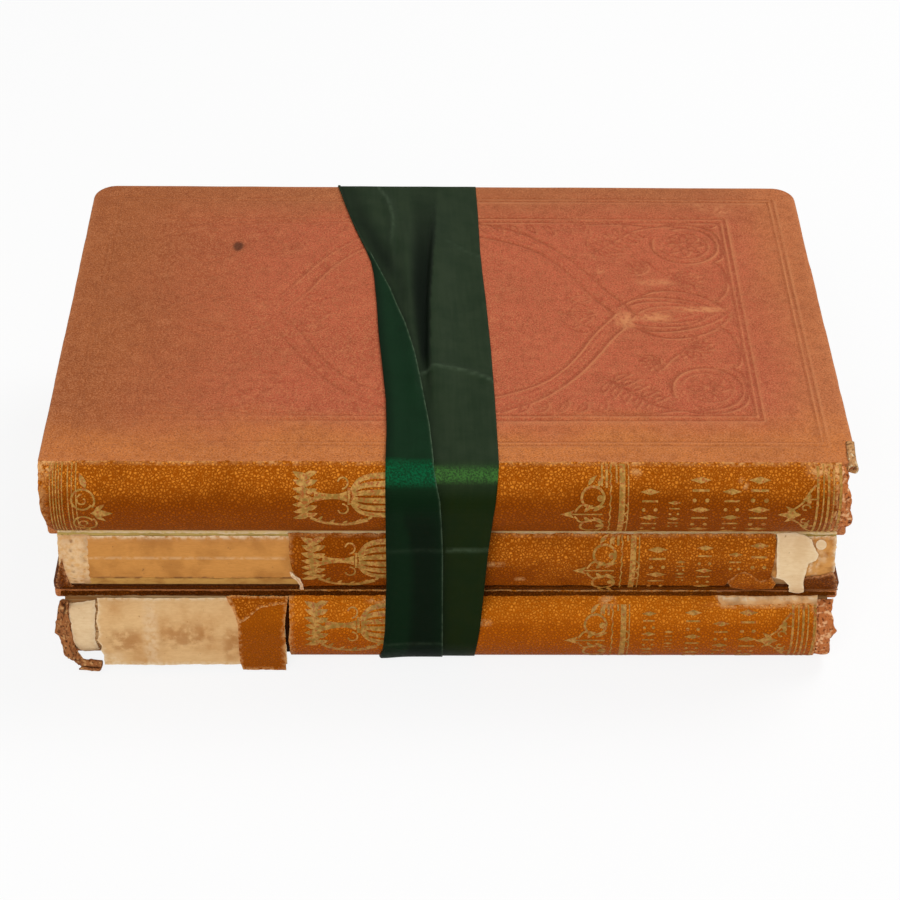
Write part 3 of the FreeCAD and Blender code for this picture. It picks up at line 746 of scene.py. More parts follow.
@dataclass(frozen=True)
class SatinRibbon(Finish):
    """Dark green silk satin: smooth warp floats with a painted highlight across the bend, a dull reverse, and
    painted light and shade.
    """

    # The _front colours are shaded copies for faces turned away from the overhead light, the glint colours
    # are painted highlights, and the pale line colour is painted light on the fold edges and creases.
    dull: str = "#2A3624"
    dull_front: str = "#182307"
    bright: str = "#102C18"
    bright_front: str = "#081F0D"
    glint: str = "#02623A"
    dull_glint: str = "#3C6A2E"
    painted_line_light: str = "#708468"
    thread_mm: float = 0.45

    def dress(self, tree: bpy.types.NodeTree, shader: bpy.types.Node) -> None:
        """The dull face outside, the bright face on the part folded over, fine cross ribs, and painted light:
        lit and shaded copies by how each face turns to the overhead light, painted shade, a painted highlight
        on the bend, and pale painted lines.
        """
        where = place(tree)
        along = stored(tree, "along")
        across = stored(tree, "across")
        grid = add(tree, "ShaderNodeCombineXYZ", {}, {"X": across, "Y": along}).outputs[0]
        ribs = add(
            tree,
            "ShaderNodeTexWave",
            {
                "wave_type": "BANDS",
                "bands_direction": "Y",
                "Scale": 0.314 / (self.thread_mm * MM),
                "Distortion": 1.2,
                "Detail": 2.0,
            },
            {"Vector": grid},
        ).outputs["Fac"]
        side = stored(tree, "folded")
        streak = noise(tree, 1.2, 3, where=grid, stretch=(1, 0.05, 1))
        # Painted light: faces turned up get the lit copies, faces turned to the front the shaded ones.
        normal = add(tree, "ShaderNodeNewGeometry").outputs["Normal"]
        facing = add(tree, "ShaderNodeSeparateXYZ", {}, {"Vector": normal})
        above = ramp(tree, facing.outputs["Z"], 0.25, 0.9)
        dull = blend_colours(tree, above, self.dull_front, self.dull)
        bright = blend_colours(tree, above, self.bright_front, self.bright)
        colour = blend_colours(tree, side, dull, bright)
        cloud = ramp(tree, noise(tree, 9, 4, where=grid), 0.35, 0.7, 0.0, 0.3)
        colour = blend_colours(tree, cloud, colour, self.bright_front)
        colour = blend_colours(tree, ramp(tree, streak, 0.35, 0.75, 0.0, 0.2), colour, self.bright_front)
        # Painted shade, from the ribbon's shade mark.
        colour = blend_colours(tree, stored(tree, "shade"), colour, "#040D05")
        # Painted highlight on the bend, from the sheen mark.
        shine = blend_colours(tree, side, self.dull_glint, self.glint)
        spark = ramp(tree, noise(tree, 0.5, 2, where=where), 0.36, 0.64, 0.2, 1.0)
        colour = blend_colours(tree, combine(tree, "MULTIPLY", stored(tree, "sheen"), spark), colour, shine)
        # Pale painted lines, from the thread mark: light on the fold edge and creases, and the gap between
        # the books painted as if seen through the satin.
        thread = combine(tree, "MULTIPLY", stored(tree, "thread"),
            ramp(tree, noise(tree, 2.0, 3), 0.3, 0.6, 0.2, 0.6))
        colour = blend_colours(tree, thread, colour, self.painted_line_light)
        tree.links.new(colour, shader.inputs["Base Color"])
        shader.inputs["Roughness"].default_value = 0.42
        shader.inputs["Specular IOR Level"].default_value = 0.06
        shader.inputs["Specular Tint"].default_value = linear("#C0D8B0")
        shader.inputs["Alpha"].default_value = 0.982
        raise_surface(tree, shader, combine(tree, "ADD", ribs, streak), 0.03)


@dataclass(frozen=True)
class PlainFloor(Finish):
    """Matt white paper sweep."""

    def dress(self, tree: bpy.types.NodeTree, shader: bpy.types.Node) -> None:
        """White to the camera, with only the object's shadow on it."""
        shader.inputs["Base Color"].default_value = linear("#F4F4F4")
        shader.inputs["Roughness"].default_value = 0.9
        glow = add(tree, "ShaderNodeEmission", {"Color": (1, 1, 1, 1), "Strength": 1.0})
        path = add(tree, "ShaderNodeLightPath")
        seen = combine(tree, "MAXIMUM", path.outputs["Is Camera Ray"], path.outputs["Is Transmission Ray"])
        share = combine(tree, "MULTIPLY", seen, 0.86)
        mix = add(
            tree,
            "ShaderNodeMixShader",
            {},
            {0: share, 1: shader.outputs["BSDF"], 2: glow.outputs["Emission"]},
        )
        tree.links.new(mix.outputs["Shader"], tree.nodes["Material Output"].inputs["Surface"])


# Places on the stamped cover where the nap is rubbed off: x, y and half widths, in mm.
RUBBED_THROUGH = (
    (56.8, 0.6, 3.0, 4.5), (65.6, 2.3, 6.0, 2.2), (81.4, 6.8, 8.0, 1.6), (68.2, 22.1, 5.5, 1.6),
    (94.2, 65.3, 3.0, 3.5), (86.9, 67.2, 2.0, 2.0), (50.5, 27.8, 1.0, 1.0),
)
COVER = CoverCloth("rose bookcloth, browned")
# Painted shade: a darker brown copy of the rose cloth for the middle book's lower cover, which lies in the
# gap between books.
COVER_IN_PAINTED_SHADE = CoverCloth("rose bookcloth, soiled at the joint", "#8A4A2C", "#8A4A2C", "#4A2009", "#8A4A2C",
    "#8A4A2C", "#3A1606", "#8A5230")
SPINE = SpineCloth("tan pebbled bookcloth")
FADED = SpineCloth("tan pebbled bookcloth, faded", "#CE6C08", "#F89A30", "#9C4A06")
SMOOTH = SpineCloth("tan bookcloth rubbed smooth", "#B45C0A", "#C06A10", "#964A06", "#D89A5C", 0.85)
DARK_CLOTH = SpineCloth("soiled brown bookcloth", "#9C500E", "#B86A1E", "#5A2806", "#C98A58", 0.9)
# Painted shadow: near-black cloth for the sheets put behind the split joints, where there is only shade.
PAINTED_HOLLOW_SHADOW = SpineCloth("glue-painted_shadow joint cloth", "#301204", "#3C1806", "#180701", "#5A2E10", 1.2)
# Painted shade: a darker copy of the spine cloth for the torn joint cloth in the shaded gap between the
# middle and lower books.
LIP_IN_PAINTED_SHADE = SpineCloth("torn joint cloth, soiled", "#74380A", "#8E4A0C", "#421C02", "#9A6030", 0.9)
CREAM = AgedPaper("cream spine paper", "#E2B072", "#BC7A38", "#8A5426", 5.0, 0.6)
STAINED = AgedPaper("stained spine paper", "#E6BC84", "#C48A4C", "#AC7034", 11.0, 0.6)
PALE = AgedPaper("pale patch paper", "#EECFA2", "#CFA26C", "#9A6B3C", 7.0, 0.35)
HINGE = AgedPaper("yellow hinge paper", "#EED08A", "#C8A458", "#8A6428", 12.0, 0.45)
PINKISH = AgedPaper("pinkish joint paper", "#D9A97E", "#B47C4E", "#7B4A20", 8.0, 0.5)
KRAFT = AgedPaper("brown lining paper", "#D08E42", "#A86A26", "#85532A", 9.0, 0.62, 0.62)
STRIP = AgedPaper("browned joint paper", "#CC9A4E", "#A06424", "#6E4010", 6.0, 0.6)
RUBBED = AgedPaper("rubbed spine end", "#D89A52", "#A4601C", "#7A4212", 3.2, 0.75)
TORN = AgedPaper("torn joint paper, pale", "#F2BE80", "#C8803C", "#8A5426", 4.0, 0.6)
LEAF = AgedPaper("yellowed endpaper", "#CDB064", "#9F7E38", "#6E4B1E", 9.0, 0.5)
BOARD = AgedPaper("millboard", "#A9825A", "#7E5A38", "#5E3F26", 6.0, 0.6)
PAGES = PageEdges("browned page edges")
GILT = WornGilt("worn gold leaf")
FRAY = FrayedCloth("frayed cloth and board")
SCRAP = FrayedCloth("torn spine end, browned", "#A8693A", "#D4A068", "#42200A")
CORNER = FrayedCloth("frayed corner, board showing", "#C28E5A", "#EAD2A4", "#6A4018")
RIBBON = SatinRibbon("green satin")


# Pieces


def make_piece(
    name: str,
    points: np.ndarray,
    faces: Sequence[Sequence[int]],
    finish: Finish,
    replaces: Sequence[str] = (),
    marks: Optional[Marks] = None,
    sharp_deg: float = 50.0,
) -> bpy.types.Object:
    """Makes one piece from points and faces.

    Args:
        name: the piece's name.
        points: points in mm, one per row.
        faces: corner numbers of each face.
        finish: its material.
        replaces: CAD nodes it stands for.
        marks: numbers per point that the material reads, by name.
        sharp_deg: edges that turn more than this stay sharp.

    Returns:
        The piece.
    """
    mesh = bpy.data.meshes.new(name)
    mesh.from_pydata((np.asarray(points) * MM).tolist(), [], [list(map(int, f)) for f in faces])
    mesh.validate()
    mesh.shade_smooth()
    mesh.set_sharp_from_angle(angle=math.radians(sharp_deg))
    for key, values in (marks or {}).items():
        if len(values) == len(mesh.vertices):
            row = mesh.attributes.new(key, "FLOAT", "POINT")
            row.data.foreach_set("value", np.asarray(values, np.float32))
    mesh.materials.append(finish.make())
    piece = bpy.data.objects.new(name, mesh)
    bpy.context.scene.collection.objects.link(piece)
    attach(piece, "root")
    if replaces:
        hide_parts(*replaces)
    log.info("%s: %d points, %d faces", name, len(mesh.vertices), len(mesh.polygons))
    return piece


def close_sheet(
    flat: np.ndarray, faces: list[list[int]], top: np.ndarray, low: np.ndarray
) -> tuple[np.ndarray, list[list[int]]]:
    """Closes a filled outline into a thin solid.

    Args:
        flat: the flat points, for their number.
        faces: triangles that name them.
        top: where each goes on the outer side, in mm.
        low: where each goes on the inner side, in mm.

    Returns:
        Points and faces of the solid.
    """
    count = len(flat)
    used: dict[tuple[int, int], int] = {}
    for f in faces:
        for a, b in zip(f, f[1:] + f[:1]):
            used[(a, b)] = 1
    rim = [(a, b) for (a, b) in used if (b, a) not in used]
    solid = [list(f) for f in faces]
    solid += [[v + count for v in reversed(f)] for f in faces]
    solid += [[b, a, a + count, b + count] for a, b in rim]
    return np.vstack([top, low]), solid


@dataclass(frozen=True)
class SpineShape:
    """The rounded back of one book, which cloth and papers follow."""

    joint_y: float
    low: float
    thick: float
    bulge: float

    @property
    def radius(self) -> float:
        """Radius of the back, in mm."""
        return (self.thick**2 / 4 + self.bulge**2) / (2 * self.bulge)

    @property
    def half_girth(self) -> float:
        """Distance along the back from its middle to a joint, in mm."""
        return self.radius * math.asin(self.thick / 2 / self.radius)

    def at(self, x: np.ndarray, s: np.ndarray, lift: np.ndarray, hanging: bool = False) -> np.ndarray:
        """Places points on the back.

        Args:
            x: distance along the spine, in mm.
            s: distance up round the back from its middle, in mm.
            lift: height off the back, in mm.
            hanging: whether it hangs straight down below the middle.

        Returns:
            Points in mm, one per row.
        """
        x, s, lift = np.broadcast_arrays(*(np.asarray(v, float) for v in (x, s, lift)))
        middle = self.low + self.thick / 2
        front = self.joint_y - self.bulge
        angle = s / self.radius
        reach = self.radius + lift
        y = front + self.radius - reach * np.cos(angle)
        z = middle + reach * np.sin(angle)
        if hanging:
            y = np.where(s < 0, front - lift, y)
            z = np.where(s < 0, middle + s, z)
        return np.stack([x, y, z], axis=1)


def cover_spine(
    name: str,
    shape: SpineShape,
    outline: Sequence[Point2],
    finish: Finish,
    lift: float | Form = 0.0,
    thick: float = 0.45,
    pitch: float = 1.6,
    tear: float = 0.0,
    worn_width: float = 0.0,
    hanging: bool = False,
    replaces: Sequence[str] = (),
    seed: int = 1,
    marks: Optional[Callable[[np.ndarray, np.ndarray, np.ndarray], Marks]] = None,
) -> bpy.types.Object:
    """Makes a piece of cloth or paper that lies on the back of a book.

    Args:
        name: the piece's name.
        shape: the back that it lies on.
        outline: its outline as (x, s), in mm.
        finish: its material.
        lift: its outer face's height off the cloth line, in mm, or a function of x, s and
            the distance to its edge.
        thick: its thickness, in mm.
        pitch: size of its triangles, in mm.
        tear: how ragged its edge is, in mm.
        worn_width: width of the rubbed band along its edge, in mm.
        hanging: whether it hangs straight below the middle.
        replaces: CAD nodes it stands for.
        seed: picks its tears.
        marks: function of x, s and edge distance that gives more numbers per point.

    Returns:
        The piece.
    """
    step = min(pitch, 0.8) if tear else pitch
    edge = ragged(outline, step, tear, seed) if tear else spread(outline, step)
    flat, faces = fill_outline(edge, pitch)
    away = edge_distance(flat, edge)
    x, s = flat[:, 0], flat[:, 1]
    height = lift(x, s, away) if callable(lift) else np.full(len(flat), lift)
    top = shape.at(x, s, height, hanging)
    low = shape.at(x, s, height - thick, hanging)
    points, solid = close_sheet(flat, faces, top, low)
    worn = np.clip(1 - away / worn_width, 0, 1) if worn_width else np.zeros(len(flat))
    found = {"worn": worn, "stain": np.zeros(len(flat))}
    # fade is the painted light share: lighter towards the top of the back, where the overhead light falls.
    found["fade"] = smooth_step(0.05 * shape.half_girth, 0.8 * shape.half_girth, s)
    if marks:
        found.update(marks(x, s, away))
    both = {k: np.concatenate([v, v]) for k, v in found.items()}
    return make_piece(name, points, solid, finish, replaces, both)


def rubbed_spots(
    x: np.ndarray, s: np.ndarray, spots: Sequence[tuple[float, float, float, float]]
) -> np.ndarray:
    """Marks places that are rubbed pale.

    Args:
        x: places along the spine, in mm.
        s: places up the back, in mm.
        spots: each one's middle x and s, and its half widths, in mm.

    Returns:
        Shares from 0 to 1.
    """
    found = np.zeros(len(x))
    for cx, cs, wide, high in spots:
        found = np.maximum(found, np.exp(-(((x - cx) / wide) ** 4) - ((s - cs) / high) ** 4))
    return found


@dataclass
class Gilding:
    """Gold stamped on one back: strokes and shapes gathered into one piece."""

    name: str
    shape: SpineShape
    lift: float = 0.06
    depth: float = 0.1
    points: list[np.ndarray] = field(default_factory=list)
    faces: list[list[int]] = field(default_factory=list)
    count: int = 0
    layer: int = 0

    def take(self, points: np.ndarray, faces: list[list[int]]) -> None:
        """Adds a closed shape.

        Args:
            points: its points, in mm.
            faces: its faces.
        """
        self.faces += [[v + self.count for v in f] for f in faces]
        self.points.append(points)
        self.count += len(points)
        self.layer += 1

    def height(self) -> float:
        """Returns the lift of the next shape, which differs a little so that none coincide."""
        return self.lift + 0.004 * (self.layer % 5)

    def stroke(self, path: Sequence[Point2], width: float, end_width: Optional[float] = None) -> None:
        """Draws a line of gold.

        Args:
            path: its points as (x, s), in mm.
            width: its width, in mm.
            end_width: its width at the end, if it tapers.
        """
        line = spread(path, 1.2, closed=False)
        along = np.gradient(line, axis=0)
        along /= np.maximum(np.linalg.norm(along, axis=1), 1e-9)[:, None]
        across = np.stack([-along[:, 1], along[:, 0]], axis=1)
        half = np.linspace(width, width if end_width is None else end_width, len(line)) / 2
        left, right = line + across * half[:, None], line - across * half[:, None]
        rows = []
        up = self.height()
        for side, lift in ((left, up), (right, up), (right, up - self.depth), (left, up - self.depth)):
            rows.append(self.shape.at(side[:, 0], side[:, 1], lift))
        n = len(line)
        faces = []
        for i in range(n - 1):
            for k in range(4):
                a, b = k * n + i, ((k + 1) % 4) * n + i
                faces.append([a, b, b + 1, a + 1])
        faces.append([0, 3 * n, 2 * n, n])
        faces.append([n - 1, 2 * n - 1, 3 * n - 1, 4 * n - 1])
        self.take(np.vstack(rows), faces)

    def fill(self, outline: Sequence[Point2]) -> None:
        """Fills a shape with gold.

        Args:
            outline: its outline as (x, s), in mm.
        """
        edge = spread(outline, 1.2)
        flat, faces = fill_outline(edge, 1.2)
        up = self.height()
        top = self.shape.at(flat[:, 0], flat[:, 1], up)
        low = self.shape.at(flat[:, 0], flat[:, 1], up - self.depth)
        self.take(*close_sheet(flat, faces, top, low))

    def mirrored(self, draw: Callable[[float], None]) -> None:
        """Draws something above the spine's middle line and below it; draw takes the sign of s."""
        draw(1.0)
        draw(-1.0)

    def rule(self, x: float, low: float, high: float, width: float = 0.5, wave: float = 0.0) -> None:
        """Draws a line across the spine.

        Args:
            x: its place along the spine, in mm.
            low: its lower end, in mm.
            high: its upper end, in mm.
            width: its width, in mm.
            wave: how far it waves, in mm.
        """
        steps = max(2, int((high - low) / 1.1))
        line = [
            (x + wave * math.sin(i * 2.1), low + (high - low) * i / steps) for i in range(steps + 1)
        ]
        self.stroke(line, width)

    def make(self) -> bpy.types.Object:
        """Returns the piece with all of this gold."""
        return make_piece(self.name, np.vstack(self.points), self.faces, GILT)


class Ornament(Enum):
    """The groups of gold that the tears may have taken away."""

    HEAD = "rules and fleuron at the head"
    TAIL = "rules and scrolls at the tail"


@dataclass(frozen=True)
class StampedSpine:
    """The gold ornaments of one spine, and where they sit along it."""

    head: float
    tail: float
    medallion: float
    urn: float
    rows: tuple[tuple[float, float, float, float], ...]
    low: float = -15.5
    high: float = 15.8
    urn_middle: float = 5.8
    kept: tuple[Ornament, ...] = (Ornament.HEAD, Ornament.TAIL)

    def trefoil(self, gold: Gilding, x: float, s: float, size: float) -> None:
        """Draws a small three-lobed leaf that points to the tail.

        Args:
            gold: the gilding that takes it.
            x: its middle along the spine, in mm.
            s: its middle up the back, in mm.
            size: length of a lobe, in mm.
        """
        for turn in (180, 105, 255):
            a = math.radians(turn)
            tip = (x + size * math.cos(a), s + size * math.sin(a))
            gold.fill(leaf_outline((x, s), tip, size * 0.62))
        gold.stroke([(x, s), (x + size * 0.9, s)], 0.45)

    def head_piece(self, gold: Gilding) -> None:
        """Draws the rules at the head, with trefoils and a pointed fleuron below them.

        Args:
            gold: the gilding that takes them.
        """
        h = self.head
        for x, width in ((0, 0.7), (1.7, 0.45), (3.2, 0.7), (4.7, 0.45), (6.7, 0.8)):
            gold.rule(h + x, self.low, self.high, width)
        for s in (-5.2, 5.2):
            self.trefoil(gold, h - 2.2, s, 2.2)
        gold.mirrored(
            lambda k: gold.stroke(
                curve((h - 0.6, 9.4 * k), (h - 2.6, 7.0 * k), (h - 4.8, 3.6 * k), (h - 8.6, 0.9 * k)), 0.6
            )
        )
        gold.mirrored(lambda k: gold.stroke(arc((h - 3.4, 2.3 * k), 1.5, 0, 300 * k, 0.5), 0.5))
        gold.fill(leaf_outline((h - 4.4, 0), (h - 11.4, 0), 2.4))
        gold.mirrored(lambda k: gold.fill(leaf_outline((h - 6.0, 0.6 * k), (h - 9.2, 3.0 * k), 1.3)))

    def tail_piece(self, gold: Gilding) -> None:
        """Draws the rules at the tail, and a pair of scrolls with a fleuron between them.

        Args:
            gold: the gilding that takes them.
        """
        t = self.tail
        for x in (0, 0.9, 1.75, 2.6, 3.5, 5.2, 6.4, 7.6):
            gold.rule(t + x, self.low, self.high, 0.36)
        gold.mirrored(lambda k: gold.stroke(arc((t + 9.4, 4.4 * k), 3.6, -40 * k, 330 * k, 2.9), 0.6))
        gold.mirrored(lambda k: gold.stroke(arc((t + 9.4, 4.4 * k), 1.9, 90 * k, 420 * k, 0.6), 0.5))
        gold.mirrored(lambda k: gold.fill(leaf_outline((t + 10.5, 8.0 * k), (t + 8.6, 12.6 * k), 1.9)))
        gold.fill(leaf_outline((t + 11.5, 0), (t + 18.0, 0), 2.6))
        gold.mirrored(lambda k: gold.fill(leaf_outline((t + 12.6, 0.6 * k), (t + 15.8, 3.2 * k), 1.5)))

    def medallion_piece(self, gold: Gilding) -> None:
        """Draws the middle ornament: scrolls and leaves that end in an arrow, and a side panel.

        Args:
            gold: the gilding that takes it.
        """
        m = self.medallion
        gold.fill([(m - 9.5, 0), (m - 5.4, 1.5), (m - 6.2, 0), (m - 5.4, -1.5)])
        gold.stroke([(m - 6.0, 0), (m + 3.0, 0)], 0.5)
        gold.mirrored(lambda k: gold.stroke(arc((m, 5.6 * k), 3.3, -120 * k, 240 * k), 0.75))
        gold.mirrored(lambda k: gold.fill(arc((m + 2.2, 5.4 * k), 1.0, 0, 351)))
        gold.mirrored(lambda k: gold.stroke(curve((m - 5.2, 0.8 * k), (m - 3.4, 3.2 * k),
            (m - 0.8, 3.0 * k)), 0.6))
        for x, s, dx, ds in ((-2.4, 0.8, 2.6, 2.4), (0.2, 1.2, 3.6, 1.8), (-1.4, 9.2, 2.6, 3.0),
            (1.6, 8.8, 1.8, 3.4)):
            gold.mirrored(
                lambda k: gold.fill(leaf_outline((m + x, s * k), (m + x + dx, (s + ds) * k), 1.3, 0.3 * k))
            )
        gold.rule(m + 2.6, min(9.0, self.high - 2), self.high, 0.5)
        gold.rule(m + 4.0, min(8.6, self.high - 2), self.high, 0.7)
        gold.rule(m + 5.2, self.low, self.high, 0.4, 0.25)
        gold.rule(m + 6.9, min(10.0, self.high - 1), self.high, 0.55)
        gold.rule(m + 8.6, self.low, self.high, 1.7)
        gold.rule(m + 10.4, self.low, self.high, 0.35)
        gold.mirrored(lambda k: gold.stroke(arc((m + 8.6, 1.9 * k), 1.9, -80 * k, 80 * k), 0.45))

    def urn_piece(self, gold: Gilding) -> None:
        """Draws an urn of leaves on a foot, lying with its foot to the tail.

        Args:
            gold: the gilding that takes it.
        """
        u, c = self.urn, self.urn_middle
        for k in range(7):
            s = c - 7.5 + 2.5 * k
            gold.fill(leaf_outline((u + 5.4, c + (s - c) * 0.72), (u + 0.2 * (k % 2), s), 2.3, 0.4))
        for k in range(6):
            s = c - 6.4 + 2.6 * k
            gold.fill(leaf_outline((u + 3.6, s), (u + 7.4, s + 0.9), 1.9, -0.3))
        stem = curve((u + 6.4, c + 1.7), (u + 9, c + 1.0), (u + 13, c + 0.8), (u + 16, c + 1.6))
        gold.fill(stem + [(x, 2 * c - s) for x, s in reversed(stem)])
        gold.rule(u + 16.6, c - 2.6, c + 2.6, 0.8)
        for k in (-2.5, -1.5, -0.5, 0.5, 1.5, 2.5):
            gold.stroke(
                curve((u + 17.4, c + 0.75 * k), (u + 19.6, c + 1.9 * k), (u + 23, c + 2.4 * k),
                (u + 27.4, c + 2.5 * k)),
                1.1, 1.9,
            )
        gold.mirrored(lambda k: gold.stroke(arc((u + 14.6, c + 4.2 * k), 1.9, -90 * k, 170 * k, 1.2), 0.5))
        swag = curve((u + 5.2, c - 7.4), (u + 10, c - 9.8), (u + 16, c - 10.4), (u + 22, c - 8.2), steps=8)
        gold.stroke(swag, 1.0, 1.6)
        for x, s in swag[4::5]:
            gold.fill(leaf_outline((x, s), (x + 1.6, s + 1.9), 1.1))

    def row_pieces(self, gold: Gilding) -> None:
        """Draws rows of lozenges, bars and dots in the place of words.

        Args:
            gold: the gilding that takes them.
        """
        for left, right, low, high in self.rows:
            wide, middle = right - left, (left + right) / 2
            step = wide * 0.46
            count = max(1, int((high - low) / step))
            for i in range(count):
                s = high - (i + 0.5) * (high - low) / count
                if i % 3 == 0:
                    gold.fill([(left, s), (middle, s + step * 0.36), (right, s), (middle, s - step * 0.36)])
                elif i % 3 == 1:
                    gold.stroke([(left + wide * 0.1, s), (right - wide * 0.1, s)], wide * 0.11)
                else:
                    for x in (left + wide * 0.2, right - wide * 0.2):
                        gold.fill(arc((x, s), wide * 0.1, 0, 342))

    def make(self, name: str, shape: SpineShape) -> bpy.types.Object:
        """Stamps one spine.

        Args:
            name: the piece's name.
            shape: the back that it lies on.

        Returns:
            The piece.
        """
        gold = Gilding(name, shape)
        if Ornament.HEAD in self.kept:
            self.head_piece(gold)
        if Ornament.TAIL in self.kept:
            self.tail_piece(gold)
        self.medallion_piece(gold)
        self.urn_piece(gold)
        self.row_pieces(gold)
        return gold.make()


def curled_sheet(
    name: str,
    axis: tuple[Point3, Point3],
    across: Point3,
    radius: float,
    turns: tuple[float, float],
    shrink: float,
    finish: Finish,
    seed: int,
    thick: float = 0.5,
) -> bpy.types.Object:
    """Makes a scrap of cloth or paper rolled up about a line.

    Args:
        name: the piece's name.
        axis: the two ends of the line, in mm.
        across: direction in which the roll starts.
        radius: radius of the roll, in mm.
        turns: first and last angle of the roll, in degrees.
        shrink: how much the radius falls over the roll, as a share.
        finish: its material.
        seed: picks its waves.
        thick: its thickness, in mm.

    Returns:
        The piece.
    """
    a, b = Vector(axis[0]), Vector(axis[1])
    along = (b - a).normalized()
    first = (Vector(across) - along * Vector(across).dot(along)).normalized()
    second = along.cross(first)
    rows, columns = 14, 22
    points, faces = [], []
    for i in range(rows):
        share = i / (rows - 1)
        for j in range(columns):
            turn = math.radians(turns[0] + (turns[1] - turns[0]) * j / (columns - 1))
            wave = float(soft_noise(np.array([share * 9.0]), np.array([j * 0.6]), 2.6, seed)[0])
            r = radius * (1 - shrink * j / (columns - 1)) * (1 + 0.16 * wave)
            far = np.array([float(i > rows / 2) * 7])
            slip = 0.5 * float(soft_noise(np.array([j * 0.5]), far, 1.4, seed)[0])
            edge = slip * (1 if i in (0, rows - 1) else 0.3)
            centre = a.lerp(b, share) + along * edge
            points.append(centre + first * (r * math.cos(turn)) + second * (r * math.sin(turn)))
    for i in range(rows - 1):
        for j in range(columns - 1):
            k = i * columns + j
            faces.append([k, k + 1, k + columns + 1, k + columns])
    ends, sides = (0, rows - 1), (0, columns - 1)
    rim = [
        1.0 if n // columns in ends or n % columns in sides else 0.15 for n in range(len(points))
    ]
    marks = {"worn": np.array(rim), "stain": np.full(len(points), 0.3)}
    piece = make_piece(name, np.array([tuple(v) for v in points]), faces, finish, (), marks, 180)
    solid = piece.modifiers.new("thickness", "SOLIDIFY")
    solid.thickness = thick * MM
    solid.offset = 0.0
    return piece


# Covers


